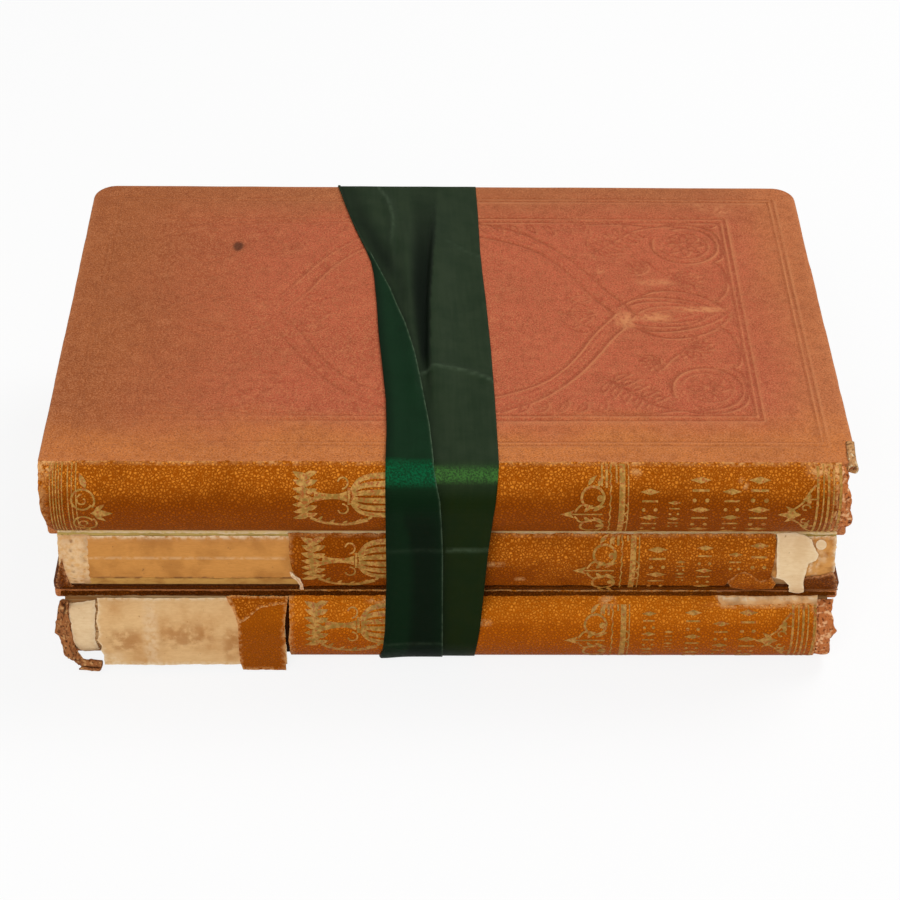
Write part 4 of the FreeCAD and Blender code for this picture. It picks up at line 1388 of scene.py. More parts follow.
@dataclass
class PressedPattern:
    """Lines and leaves blind stamped into a cover, drawn for one quarter and mirrored."""

    half_x: float = 120.5
    half_y: float = 76.4
    cell: float = 0.2
    depth: float = 0.44
    field_mm: np.ndarray = field(init=False)

    def __post_init__(self) -> None:
        """Starts with a flat quarter."""
        shape = (int(self.half_x / self.cell) + 2, int(self.half_y / self.cell) + 2)
        self.field_mm = np.zeros(shape)

    def groove(self, path: Sequence[Point2], width: float, depth: float = 1.0) -> None:
        """Presses a line into the quarter.

        Args:
            path: its points as distances from the cover's middle, in mm.
            width: its width, in mm.
            depth: its depth as a share of the pattern's.
        """
        line = np.array(path, float)
        reach = width * 1.3
        for a, b in zip(line[:-1], line[1:]):
            low = np.maximum(np.floor((np.minimum(a, b) - reach) / self.cell).astype(int), 0)
            high = np.ceil((np.maximum(a, b) + reach) / self.cell).astype(int) + 1
            high = np.minimum(high, self.field_mm.shape)
            if (high <= low).any():
                continue
            gx, gy = np.meshgrid(
                np.arange(low[0], high[0]) * self.cell, np.arange(low[1], high[1]) * self.cell,
                indexing="ij"
            )
            d = b - a
            t = np.clip(((gx - a[0]) * d[0] + (gy - a[1]) * d[1]) / max(float(d @ d), 1e-9), 0, 1)
            away = np.hypot(gx - a[0] - t * d[0], gy - a[1] - t * d[1])
            dip = -depth * np.exp(-((away / (0.55 * width)) ** 2))
            part = self.field_mm[low[0] : high[0], low[1] : high[1]]
            np.minimum(part, dip, out=part)

    def leaf(self, base: Point2, tip: Point2, width: float, bend: float = 0.0) -> None:
        """Presses a leaf's outline and its midrib.

        Args:
            base: where it grows from, in mm.
            tip: its point, in mm.
            width: its width, in mm.
            bend: how far it bends, in mm.
        """
        shape = leaf_outline(base, tip, width, bend)
        self.groove([*shape, shape[0]], 0.8, 0.8)
        self.groove([base, tip], 0.6, 0.5)

    def draw(self) -> None:
        """Draws the quarter: frames, strap, lens, cusps, scrolls and leaves."""
        for inset, depth in ((9.9, 0.9), (8.1, 0.9)):
            x, y = self.half_x - inset, self.half_y - inset
            self.groove([(0, y), (x, y), (x, 0)], 0.8, depth)
        for x, y in ((92.7, 53.6), (94.6, 56.0)):
            self.groove([(0, y), (x, y), (x, 0)], 1.0, 1.0)
        outer = curve((0, 54), (14, 51.8), (27, 45.8), (38, 35), (45.5, 24), (51.5, 13.5), (56.5, 6.5),
            (60, 0))
        inner = curve((0, 46.5), (14, 43.8), (27, 38), (35, 30.3), (41, 21), (45.6, 11.8), (50.2, 4.9),
            (53.5, 0))
        for line, depth in ((outer, 1.0), (inner, 1.0)):
            self.groove(line, 1.3, depth)
        self.groove(curve((0, 51.6), (14, 49.4), (27, 43.4), (37, 33.2), (44, 22.8), (50, 12.6), (57, 3)),
            0.7, 0.5)
        self.groove(curve((0, 49), (14, 46.6), (27, 40.8), (36, 31.8), (42.6, 22), (47.6, 12.2), (53, 4)),
            0.7, 0.5)
        self.groove(curve((55, 4), (60, 8.2), (67, 9.6), (76, 8.2), (84, 4.6), (89, 0)), 1.3, 1.0)
        self.groove(curve((58, 4.4), (63, 6.6), (70, 7), (78, 5.4), (85.6, 0)), 1.0, 0.8)
        self.groove(curve((60, 0), (65, 3.6), (73, 4.6), (80, 2.8), (84, 0)), 0.9, 0.8)
        self.groove(curve((64, 0), (69, 2.0), (74, 2.2), (79, 0)), 0.8, 0.7)
        self.groove(curve((62, 9.6), (68, 13), (77, 12.4), (85, 8), (90.5, 1)), 1.2, 1.0)
        cusp = curve((86, 6), (90, 12), (91.6, 20), (90.6, 27), (88.5, 29.6), (91.2, 33), (91.8, 41),
            (89.6, 48), (84, 51.6), (76, 52.4), (70, 51), (60, 52.6), (44, 52.4))
        self.groove(cusp, 1.2, 1.0)
        self.groove(arc((79.6, 40), 11.3, -200, 110, 10.2), 1.2, 1.0)
        self.groove(arc((79.6, 40), 8.6, -160, 150, 6.4), 0.9, 0.7)
        for turn in range(0, 360, 45):
            a = math.radians(turn)
            dx, dy = math.cos(a), math.sin(a)
            self.leaf((79.6 + 1.5 * dx, 40 + 1.5 * dy), (79.6 + 6.6 * dx, 40 + 6.6 * dy), 2.6)
        self.groove(curve((50, 36), (56, 42), (63, 48.6), (72, 51.2), (79, 51)), 1.2, 0.9)
        for i, (x, y) in enumerate(((50.5, 36.5), (53, 39), (55.8, 41.8), (58.8, 44.6), (62, 47.2))):
            self.leaf((x, y), (x - 3.5 + i * 0.6, y + 6.5 - i * 0.4), 2.2, 0.8)
            self.leaf((x, y), (x + 6.0 - i * 0.3, y - 4.0 + i * 0.3), 2.2, -0.8)
        for turn in range(-70, 130, 26):
            a = math.radians(turn)
            self.leaf((76, 18), (76 + 7.4 * math.cos(a), 18 + 6.4 * math.sin(a)), 2.5, 0.5)
        self.groove(curve((66, 30), (70, 24), (76, 18)), 1.0, 0.8)
        for i in range(5):
            a = math.radians(100 + 24 * i)
            self.leaf((66, 25), (66 + 6.5 * math.cos(a), 25 + 6.5 * math.sin(a)), 2.0, 0.5)
        self.groove(curve((38, 0), (42, 5.5), (46, 8.4), (43, 10.5), (38.5, 8)), 1.0, 0.8)
        self.leaf((46, 2), (40, 7.6), 2.6, 0.6)
        self.leaf((47, 0), (36.4, 0), 2.6)
        for i, x in enumerate((16, 21.5, 27, 33, 39, 45)):
            self.leaf((x, 52), (x + 3.0, 46.8 - (i % 2)), 2.2, 0.4)
        self.groove([(89.5, 50.5), (92.5, 53.4)], 1.0, 0.8)

    def heights(self, x: np.ndarray, y: np.ndarray) -> np.ndarray:
        """Reads the pattern, mirrored to all four quarters.

        Args:
            x: distance from the cover's middle, in mm.
            y: distance from the cover's middle, in mm.

        Returns:
            Depths from -1 to 0.
        """
        u = np.clip(np.abs(x) / self.cell, 0, self.field_mm.shape[0] - 1.001)
        v = np.clip(np.abs(y) / self.cell, 0, self.field_mm.shape[1] - 1.001)
        i, j = u.astype(int), v.astype(int)
        a, b = u - i, v - j
        f = self.field_mm
        near = f[i, j] * (1 - a) + f[i + 1, j] * a
        far = f[i, j + 1] * (1 - a) + f[i + 1, j + 1] * a
        return (near * (1 - b) + far * b) * self.keeping(x, y)

    def keeping(self, x: np.ndarray, y: np.ndarray) -> np.ndarray:
        """Tells how much of the stamping is left: it is crisp at the head and rubbed at the tail.

        Args:
            x: distance from the cover's middle, in mm.
            y: distance from the cover's middle, in mm.

        Returns:
            Shares from 0 to 1.
        """
        side = 0.45 + 0.55 * smooth_step(-90, 40, x)
        return np.clip(side * (0.86 + 0.25 * soft_noise(x, y, 22, 5)), 0.15, 1)


def cover_ring(inset: float, near: float, far: float, half_x: float, radius: float,
    near_radius: float) -> np.ndarray:
    """Follows a cover's outline at an inset.

    Args:
        inset: distance inside the outline, in mm.
        near: y of its joint side, in mm.
        far: y of its fore edge, in mm.
        half_x: half its length, in mm.
        radius: radius of its corners at the fore edge, in mm.
        near_radius: radius of its corners at the joint, in mm.

    Returns:
        Points, one per row, always as many.
    """
    x1, y0, y1 = half_x - inset, near + inset, far - inset
    corners = ((x1, y0, near_radius, -90), (x1, y1, radius, 0), (-x1, y1, radius, 90),
        (-x1, y0, near_radius, 180))
    rows: list[Point2] = []
    turns = 10
    for x, y, r, start in corners:
        r = max(r - inset, 0.05)
        cx, cy = x - math.copysign(r, x), y + (r if y == y0 else -r)
        angles = [math.radians(start + 90 * k / turns) for k in range(turns + 1)]
        rows += [(cx + r * math.cos(a), cy + r * math.sin(a)) for a in angles]
    out: list[Point2] = []
    per = turns + 1
    for c in range(4):
        block = rows[c * per : (c + 1) * per]
        out += block
        a, b = np.array(block[-1]), np.array(rows[((c + 1) * per) % len(rows)])
        count = 90 if c in (0, 2) else 150
        out += [tuple(a + (b - a) * k / (count + 1)) for k in range(1, count + 1)]
    return np.array(out)


@dataclass(frozen=True)
class Cover:
    """One cloth-covered board."""

    name: str
    near: float
    far: float
    low: float
    thick: float
    replaces: tuple[str, ...] = ()
    stamped: bool = False
    face_up: bool = True
    finish: CoverCloth = COVER
    half_x: float = 120.5
    corner: float = 7.5
    roll: float = 0.9

    def top_points(self, pattern: PressedPattern) -> np.ndarray:
        """Chooses points for the stamped face, closest where the relief is.

        Args:
            pattern: the stamped pattern.

        Returns:
            Points inside the rolled edge, one per row.
        """
        finest = 0.42
        middle = (self.near + self.far) / 2
        nx, ny = int(self.half_x / finest), int((self.far - self.near) / 2 / finest)
        keep: set[tuple[int, int]] = set()
        for level in (8, 4, 2, 1):
            xs, ys = np.arange(-nx, nx + 1), np.arange(-ny, ny + 1)
            xs, ys = xs[xs % level == 0], ys[ys % level == 0]
            gx, gy = np.meshgrid(xs, ys, indexing="ij")
            if level == 8:
                chosen = np.ones(gx.shape, bool)
            else:
                reach = finest * level
                best = np.zeros(gx.shape)
                for dx in (-1, 0, 1):
                    for dy in (-1, 0, 1):
                        h = pattern.heights(gx * finest + dx * reach, gy * finest + dy * reach)
                        best = np.maximum(best, -h)
                chosen = best > (0.02 if level > 1 else 0.2)
            keep.update(zip(gx[chosen].tolist(), gy[chosen].tolist()))
        points = np.array(sorted(keep), float) * finest
        return points + np.array([0.0, middle])

    def surface(self, pattern: Optional[PressedPattern], x: np.ndarray, y: np.ndarray) -> np.ndarray:
        """Gives the outer face's height over its plane.

        Args:
            pattern: the stamped pattern, if it is stamped.
            x: places, in mm.
            y: places, in mm.

        Returns:
            Heights, in mm.
        """
        middle = (self.near + self.far) / 2
        swell = 0.16 * soft_noise(x, y, 46, 11) + 0.05 * soft_noise(x, y, 11, 12)
        groove = -0.5 * np.exp(-(((y - self.near - 3.0) / 1.8) ** 2))
        out = swell + groove
        if pattern is not None:
            out = out + pattern.depth * pattern.heights(x, y - middle)
        return out

    def make(self, pattern: Optional[PressedPattern]) -> bpy.types.Object:
        """Builds the covered board.

        Args:
            pattern: the stamped pattern, or None where the cover lies hidden.

        Returns:
            The piece.
        """
        size = (self.near, self.far, self.half_x, self.corner, 1.2)
        inner = cover_ring(self.roll, *size)
        grid = self.top_points(pattern) if pattern else fill_outline(spread(inner[::6].tolist(), 6), 6.0)[0]
        grid = grid[inside(grid, inner)]
        grid = grid[edge_distance(grid, inner[::3]) > 0.3]
        every = [Vector(p) for p in inner] + [Vector(p) for p in grid]
        found = delaunay_2d_cdt(every, [], [list(range(len(inner)))], 1, 1e-6)
        flat = np.array([tuple(v) for v in found[0]])
        faces = [list(f) for f in found[2]]
        sign = 1.0 if self.face_up else -1.0
        outer_z = self.low + self.thick if self.face_up else self.low
        inner_z = self.low if self.face_up else self.low + self.thick
        rise = self.surface(pattern, flat[:, 0], flat[:, 1])
        top = np.column_stack([flat, outer_z + sign * rise])
        rings = [top[: len(inner)]]
        outward = cover_ring(0.0, *size) - inner
        outward /= np.linalg.norm(outward, axis=1)[:, None]
        dents = np.minimum(0.22 * soft_noise(inner[:, 0], inner[:, 1], 7, 21), 0.0)[:, None]
        for turn in (25, 50, 75, 90):
            a = math.radians(turn)
            ring = cover_ring(self.roll * (1 - math.sin(a)), *size)
            drop = self.roll * (1 - math.cos(a))
            fade = 1 - turn / 90
            z = outer_z - sign * drop + sign * rise[: len(inner)] * fade
            rings.append(np.column_stack([ring + outward * dents * (turn / 90), z]))
        for turn in (0, 45, 90):
            a = math.radians(turn)
            ring = cover_ring(0.7 * (1 - math.cos(a)), *size)
            z = np.full(len(ring), inner_z + sign * 0.7 * (1 - math.sin(a)))
            rings.append(np.column_stack([ring, z]))
        points = [top]
        start = len(top)
        before = list(range(len(inner)))
        for ring in rings[1:]:
            points.append(ring)
            now = list(range(start, start + len(ring)))
            start += len(ring)
            n = len(now)
            faces += [[before[(i + 1) % n], before[i], now[i], now[(i + 1) % n]] for i in range(n)]
            before = now
        faces.append(list(reversed(before)))
        if not self.face_up:
            faces = [list(reversed(f)) for f in faces]
        points = np.vstack(points)
        x, y = points[:, 0], points[:, 1]
        away = np.minimum.reduce([self.half_x - np.abs(x), self.far - y, y - self.near + 1.0])
        side = np.arange(len(points)) >= len(top)
        middle = (self.near + self.far) / 2
        # pressed is the stamping's depth, which the cloth darkens as painted shade; ridge marks the side of
        # each pressed line that gets a painted highlight.
        pressed = -pattern.heights(x, y - middle) if pattern else np.zeros(len(points))
        ridge = np.zeros(len(points))
        if pattern:
            beside = -pattern.heights(x - 0.75, y - middle + 0.75)
            ridge = np.clip(beside - pressed, 0, 1) * ~side
        worn = np.clip(1 - away / 1.6, 0, 1) * 0.5 + side * 0.25
        if self.stamped:
            worn = np.clip(worn + 0.75 * rubbed_spots(x, y, RUBBED_THROUGH), 0, 1)
        stain = np.exp(-(((x + 69) / 2.1) ** 2 + ((y - self.far + 38) / 3.2) ** 2)) if self.stamped else 0 * x
        marks = {"pressed": pressed * ~side, "ridge": ridge, "worn": worn, "stain": stain}
        return make_piece(self.name, points, faces, self.finish, self.replaces, marks, 60)


# Ribbon


@dataclass(frozen=True)
class Ribbon:
    """The satin ribbon, one band round the stack, folded over along its left side."""

    width: float = 48.0
    pitch: float = 1.4
    under: int = 56
    over: int = 18
    top_z: float = 77.4
    back_y: float = 80.6
    joint_y: float = -71.7
    front_y: float = -80.2
    # Edges on the cover: distance from the back edge, and x, in mm.
    left_top: tuple[Point2, ...] = (
        (0, -36.8), (12, -34.1), (23.4, -31.3), (33, -28.6), (41, -26.2), (48, -24.4), (56, -23.3),
        (72, -22.1),
        (87, -21.3), (103, -20.0), (123, -18.4), (138, -18.0), (152, -18.1),
    )
    right_top: tuple[Point2, ...] = (
        (0, 10.6), (19, 11.1), (41, 11.4), (56, 12.0), (70, 12.7), (97, 13.7), (123, 14.3), (152, 14.7),
    )
    fold_top: tuple[Point2, ...] = (
        (0, -36.3), (14, -33.6), (23.4, -31.0), (34, -27.6), (47.6, -23.2), (63.6, -18.2), (83.2, -13.3),
        (100.6, -10.0), (117.5, -7.7), (134.9, -5.6), (152, -4.4),
    )
    # The raised edge of the pleat: distance from the back edge, and x, in mm.
    ridge_top: tuple[Point2, ...] = (
        (0, -3.0), (17, -3.1), (32, -3.6), (47, -4.3), (62, -4.9), (72, -5.2), (100, -5.4), (120, -4.5),
        (150, -3.4),
    )
    # Edges down the spines: height, and x, in mm.
    left_front: tuple[Point2, ...] = ((0, -20.5), (7.4, -20), (9.5, -19.4), (18, -18.6), (40, -18),
        (77, -18.1))
    right_front: tuple[Point2, ...] = (
        (0, 8.6), (7.4, 8.8), (17.9, 10.0), (30, 10.8), (50, 12.0), (62, 13.1), (69, 13.9), (77, 14.7),
    )
    fold_front: tuple[Point2, ...] = ((0, -1.4), (7.4, -1.2), (50, -1.5), (62, -2.0), (69, -2.5),
        (77, -4.4))

    def path(self, upper: SpineShape, lower: SpineShape) -> np.ndarray:
        """Follows the band's loop round the stack.

        Args:
            upper: back of the upper book.
            lower: back of the lower book.

        Returns:
            Rows of y, z and the outward direction, in mm.
        """
        gap = 0.15
        corner = 1.0
        line: list[Point2] = []

        def bend(cy: float, cz: float, r: float, start: float, end: float, steps: int) -> None:
            """Adds an arc about (cy, cz), from start to end in degrees."""
            for k in range(steps + 1):
                a = math.radians(start + (end - start) * k / steps)
                line.append((cy + r * math.cos(a), cz + r * math.sin(a)))

        r = corner + gap
        bend(self.back_y - corner, self.top_z - corner, r, 0, 90, 6)
        line.append((self.joint_y + 1.0, self.top_z + gap))
        for shape, start, end in ((upper, 1, 0), (lower, 0, -1)):
            limit = math.degrees(shape.half_girth / shape.radius)
            centre = (shape.joint_y - shape.bulge + shape.radius, shape.low + shape.thick / 2)
            bend(*centre, shape.radius + gap, 180 - limit * start, 180 - limit * end, 9)
        line.append((self.joint_y + 1.0, 0.4 - gap))
        bend(self.back_y - corner, 0.4 + corner, r, -90, 0, 6)
        points = spread(line, self.pitch)
        ahead, behind = np.roll(points, -1, axis=0), np.roll(points, 1, axis=0)
        along = ahead - behind
        along /= np.linalg.norm(along, axis=1)[:, None]
        outward = np.stack([along[:, 1], -along[:, 0]], axis=1)
        return np.hstack([points, outward])

    def edges(self, y: float, z: float) -> tuple[float, float, float]:
        """Reads the band's edges at one place of its loop.

        Args:
            y: the place, in mm.
            z: the place, in mm.

        Returns:
            x of the left fold, of the right edge and of the folded part's edge, in mm.
        """
        if self.on_top(y, z):
            at, tables = self.back_y - y, (self.left_top, self.right_top, self.fold_top)
        elif self.in_front(y, z):
            at, tables = z, (self.left_front, self.right_front, self.fold_front)
        else:
            return self.hidden_edges(y, z)
        left, right, fold = (read_table(at, table) for table in tables)
        return left, right, fold

    def on_top(self, y: float, z: float) -> bool:
        """Tells whether a place of the loop lies on the upper cover."""
        return z > self.top_z - 0.6 and y > self.joint_y + 0.2

    def in_front(self, y: float, z: float) -> bool:
        """Tells whether a place of the loop lies along the spines."""
        return y < self.joint_y + 0.2 and z > 1.5

    def hidden_edges(self, y: float, z: float) -> tuple[float, float, float]:
        """Gives the band's edges below the stack and behind it, where the photograph shows nothing.

        Args:
            y: the place, in mm.
            z: the place, in mm.

        Returns:
            x of the left fold, of the right edge and of the folded part's edge, in mm.
        """
        if z < 2.5:
            share = float(smooth_step(self.front_y, self.back_y, np.array(y)))
            left = -20.5 + share * (-36.8 + 20.5)
            right = 8.6 + share * 2.0
            flap = (1 - float(smooth_step(-78, -35, np.array(y)))) * 19.0
            return left, right, left + max(flap, 0.5)
        return -36.8, 10.6, -36.3

    def pleats(self, y: float, z: float, x: np.ndarray) -> np.ndarray:
        """Gives the height of the under layer off the stack.

        Args:
            y: the place along the loop, in mm.
            z: the place along the loop, in mm.
            x: places across the band, in mm.

        Returns:
            Heights, in mm.
        """
        lift = 0.05 + 0.06 * soft_noise(x, np.full_like(x, y * 0.6 + z), 7, 31)
        if z < self.top_z - 0.6 or y < self.joint_y:
            crest = 2.2 * np.exp(-(((x - 3.0) / 9) ** 2)) * np.exp(-(((z - 40) / 22) ** 2)) * 0.1
            return lift + crest
        t = self.back_y - y
        strong = float(smooth_step(8, 44, np.array(t)) * (1 - smooth_step(104, 132, np.array(t))))
        soft = float(smooth_step(2, 16, np.array(t)) * (1 - smooth_step(120, 146, np.array(t))))
        ridge = read_table(t, self.ridge_top)
        hump = read_table(t, ((0, -12), (35, -13.2), (70, -12.8), (103, -11.0), (150, -9)))
        crease = read_table(t, ((1, -22.9), (10.7, -19.3), (20, -17.9), (28, -17.7), (37, -18.2),
            (60, -17.5), (150, -15)))
        right = np.where(x > ridge, np.exp(-(((x - ridge) / 7.0) ** 2)),
            np.exp(-(((x - ridge) / 1.1) ** 2)))
        lift = lift + strong * 2.3 * right
        lift = lift + strong * 1.25 * np.exp(-(((x - hump) / 2.6) ** 2))
        lift = lift + soft * 0.9 * np.exp(-(((x - crease) / 1.4) ** 2)) * float(1 - smooth_step(50, 75,
            np.array(t)))
        cross = np.exp(-(((t - self.crease_at(x)) / 1.5) ** 2))
        lift = lift + 0.6 * cross * smooth_step(-10.5, -6, x) * (1 - 0.3 * smooth_step(4, 14, x))
        return lift

    def crease_at(self, x: np.ndarray) -> np.ndarray:
        """Returns where the crease that crosses the band lies, as mm from the back edge."""
        return 107.8 + 0.032 * (x - 0.8) ** 2

    def shades(self, y: float, z: float, x: np.ndarray, folded: np.ndarray) -> Marks:
        """Paints the light and shade across one row: painted shade in the valleys and beside the folds, a
        painted highlight on the bend, and pale painted lines on the fold edge and creases.

        Args:
            y: the row's place, in mm.
            z: the row's place, in mm.
            x: places across the band, in mm.
            folded: 1 on the folded part, 0 on the single layer.

        Returns:
            Shares from 0 to 1, by name.
        """
        left, _, fold = self.edges(y, z)
        single = 1 - folded
        # thread: a pale painted line on the folded part's edge; beside and edge: painted shade next to the
        # fold edge and the left fold.
        thread = np.exp(-(((x - fold) / 0.3) ** 2)) * folded * 0.7
        beside = np.exp(-(np.maximum(x - fold, 0) / 1.6)) * single * (x > fold) * 0.6
        edge = np.exp(-(((x - left) / 1.6) ** 2)) * 0.5
        if self.on_top(y, z):
            t = self.back_y - y
            ridge = read_table(t, self.ridge_top)
            wide = read_table(t, ((0, 4.8), (32, 4.3), (62, 3.7), (86, 2.7), (100, 2.0), (150, 1.6)))
            deep = read_table(t, ((0, 0.1), (12, 0.3), (32, 0.7), (47, 0.9), (60, 1.0), (100, 1.0),
                (112, 0.3), (135, 0.3), (150, 0.0)))
            # Painted shade: the valley left of the pleat's ridge, and a pool beside the folded part.
            valley = deep * np.exp(-(((x - ridge + wide * 0.8) / wide) ** 4)) * (x < ridge + 0.2)
            pool = read_table(t, ((0, 0.3), (20, 0.6), (45, 0.75), (60, 0.4), (90, 0.15), (120, 0.1)))
            corner = pool * np.exp(-(((x - fold - 3.4) / 3.4) ** 2)) * single
            # Pale painted lines on the creases.
            crease = read_table(t, ((1, -22.9), (10.7, -19.3), (20, -17.9), (28, -17.7), (37, -18.2)))
            line = read_table(t, ((0, 0.3), (30, 0.25), (40, 0.0))) * np.exp(-(((x - crease) / 0.5) ** 2))
            across = np.exp(-(((t - self.crease_at(x)) / 0.7) ** 2)) * (x > -9) * 0.3
            faint = np.exp(-(((t - 36.5 - 0.72 * x) / 0.7) ** 2)) * (x > 0) * 0.12
            shade = np.maximum.reduce([valley * single, corner, beside, edge * folded])
            return {
                "shade": shade, "sheen": 0 * x,
                    "thread": np.clip(thread + (line + across + faint) * single, 0, 1)
            }
        if self.in_front(y, z):
            # Along the spines: painted shade on the folded part's inner half, a pale painted line for the gap
            # between books seen through, a painted highlight on a low crease, and the painted highlight on
            # the bend.
            low_down = 1 - float(smooth_step(58, 71, np.array(z)))
            inner = left + read_table(z, ((0, 7.6), (50, 7.2), (70, 4.0)))
            inner = 0.72 * smooth_step(inner - 0.5, inner + 0.7,
                x) * (1 - 0.4 * smooth_step(fold - 4, fold, x)) * low_down
            shown = math.exp(-(((z - 50.4) / 0.6) ** 2))
            low_crease_highlight = math.exp(-(((z - 12.5) / 0.5) ** 2))
            thread = thread + single * (x > fold + 1) * 0.5 * shown + folded * (0.12 * shown + 0.2 * low_crease_highlight)
            flap_sheen = np.exp(-(((z - 75.2) / 2.3) ** 4)) * 0.75
            single_sheen = np.exp(-(((z - 75.2) / 1.5) ** 4))
            sheen = np.where(folded > 0.5, flap_sheen, single_sheen)
            shade = np.maximum.reduce([inner * folded, beside, edge * 0.6]) * (1 - sheen)
            return {"shade": shade, "sheen": sheen, "thread": np.clip(0.8 * thread, 0, 1)}
        return {"shade": 0 * x, "sheen": 0 * x, "thread": 0 * x}

    def make(self, upper: SpineShape, lower: SpineShape) -> bpy.types.Object:
        """Builds the band.

        Args:
            upper: back of the upper book.
            lower: back of the lower book.

        Returns:
            The piece.
        """
        loop = self.path(upper, lower)
        turn = 4
        columns = self.under + turn + self.over
        rows, marks = [], {k: [] for k in ("along", "across", "folded", "sheen", "shade", "thread")}
        step = np.linalg.norm(np.roll(loop[:, :2], -1, axis=0) - loop[:, :2], axis=1)
        run = np.concatenate([[0], np.cumsum(step)[:-1]])
        for (y, z, ny, nz), length in zip(loop, run):
            left, right, fold = self.edges(y, z)
            flap = max(fold - left, 0.5)
            puff = 0.35 + 0.5 * min(flap / 14, 1.0)
            x_under = np.linspace(right, left, self.under)
            lift_under = self.pleats(y, z, x_under)
            x_over = left + flap * np.sin(np.linspace(0, math.pi / 2, self.over))
            lift_over = self.pleats(y, z,
                x_over) + puff * (0.4 + 0.6 * np.exp(-((x_over - left) / 5.0) ** 2))
            bends = np.linspace(0, math.pi, turn + 2)[1:-1]
            half = (lift_over[0] - lift_under[-1]) / 2
            x_turn = left - half * np.sin(bends)
            lift_turn = lift_under[-1] + half * (1 - np.cos(bends))
            x = np.concatenate([x_under, x_turn, x_over])
            lift = np.concatenate([lift_under, lift_turn, lift_over])
            rows.append(np.column_stack([x, y + ny * lift, z + nz * lift]))
            marks["along"].append(np.full(columns, length * MM))
            across = np.concatenate([[0], np.cumsum(np.hypot(np.diff(x), np.diff(lift)))])
            marks["across"].append(across * MM)
            side = np.concatenate([np.zeros(self.under), np.linspace(0.2, 1, turn), np.ones(self.over)])
            side = side * (1.0 if flap > 0.9 else 0.0)
            marks["folded"].append(side)
            # The painted light marks: shade, sheen and thread.
            for key, values in self.shades(y, z, x, side).items():
                marks[key].append(values)
        n = len(rows)
        faces = []
        for i in range(n):
            for j in range(columns - 1):
                a, b = i * columns + j, ((i + 1) % n) * columns + j
                faces.append([a, a + 1, b + 1, b])
        gathered = {k: np.concatenate(v) for k, v in marks.items()}
        piece = make_piece("ribbon_satin", np.vstack(rows), faces, RIBBON, ("ribbon",), gathered,
            180)
        solid = piece.modifiers.new("cloth thickness", "SOLIDIFY")
        solid.thickness = 0.16 * MM
        solid.offset = 0.0
        return piece


# The books


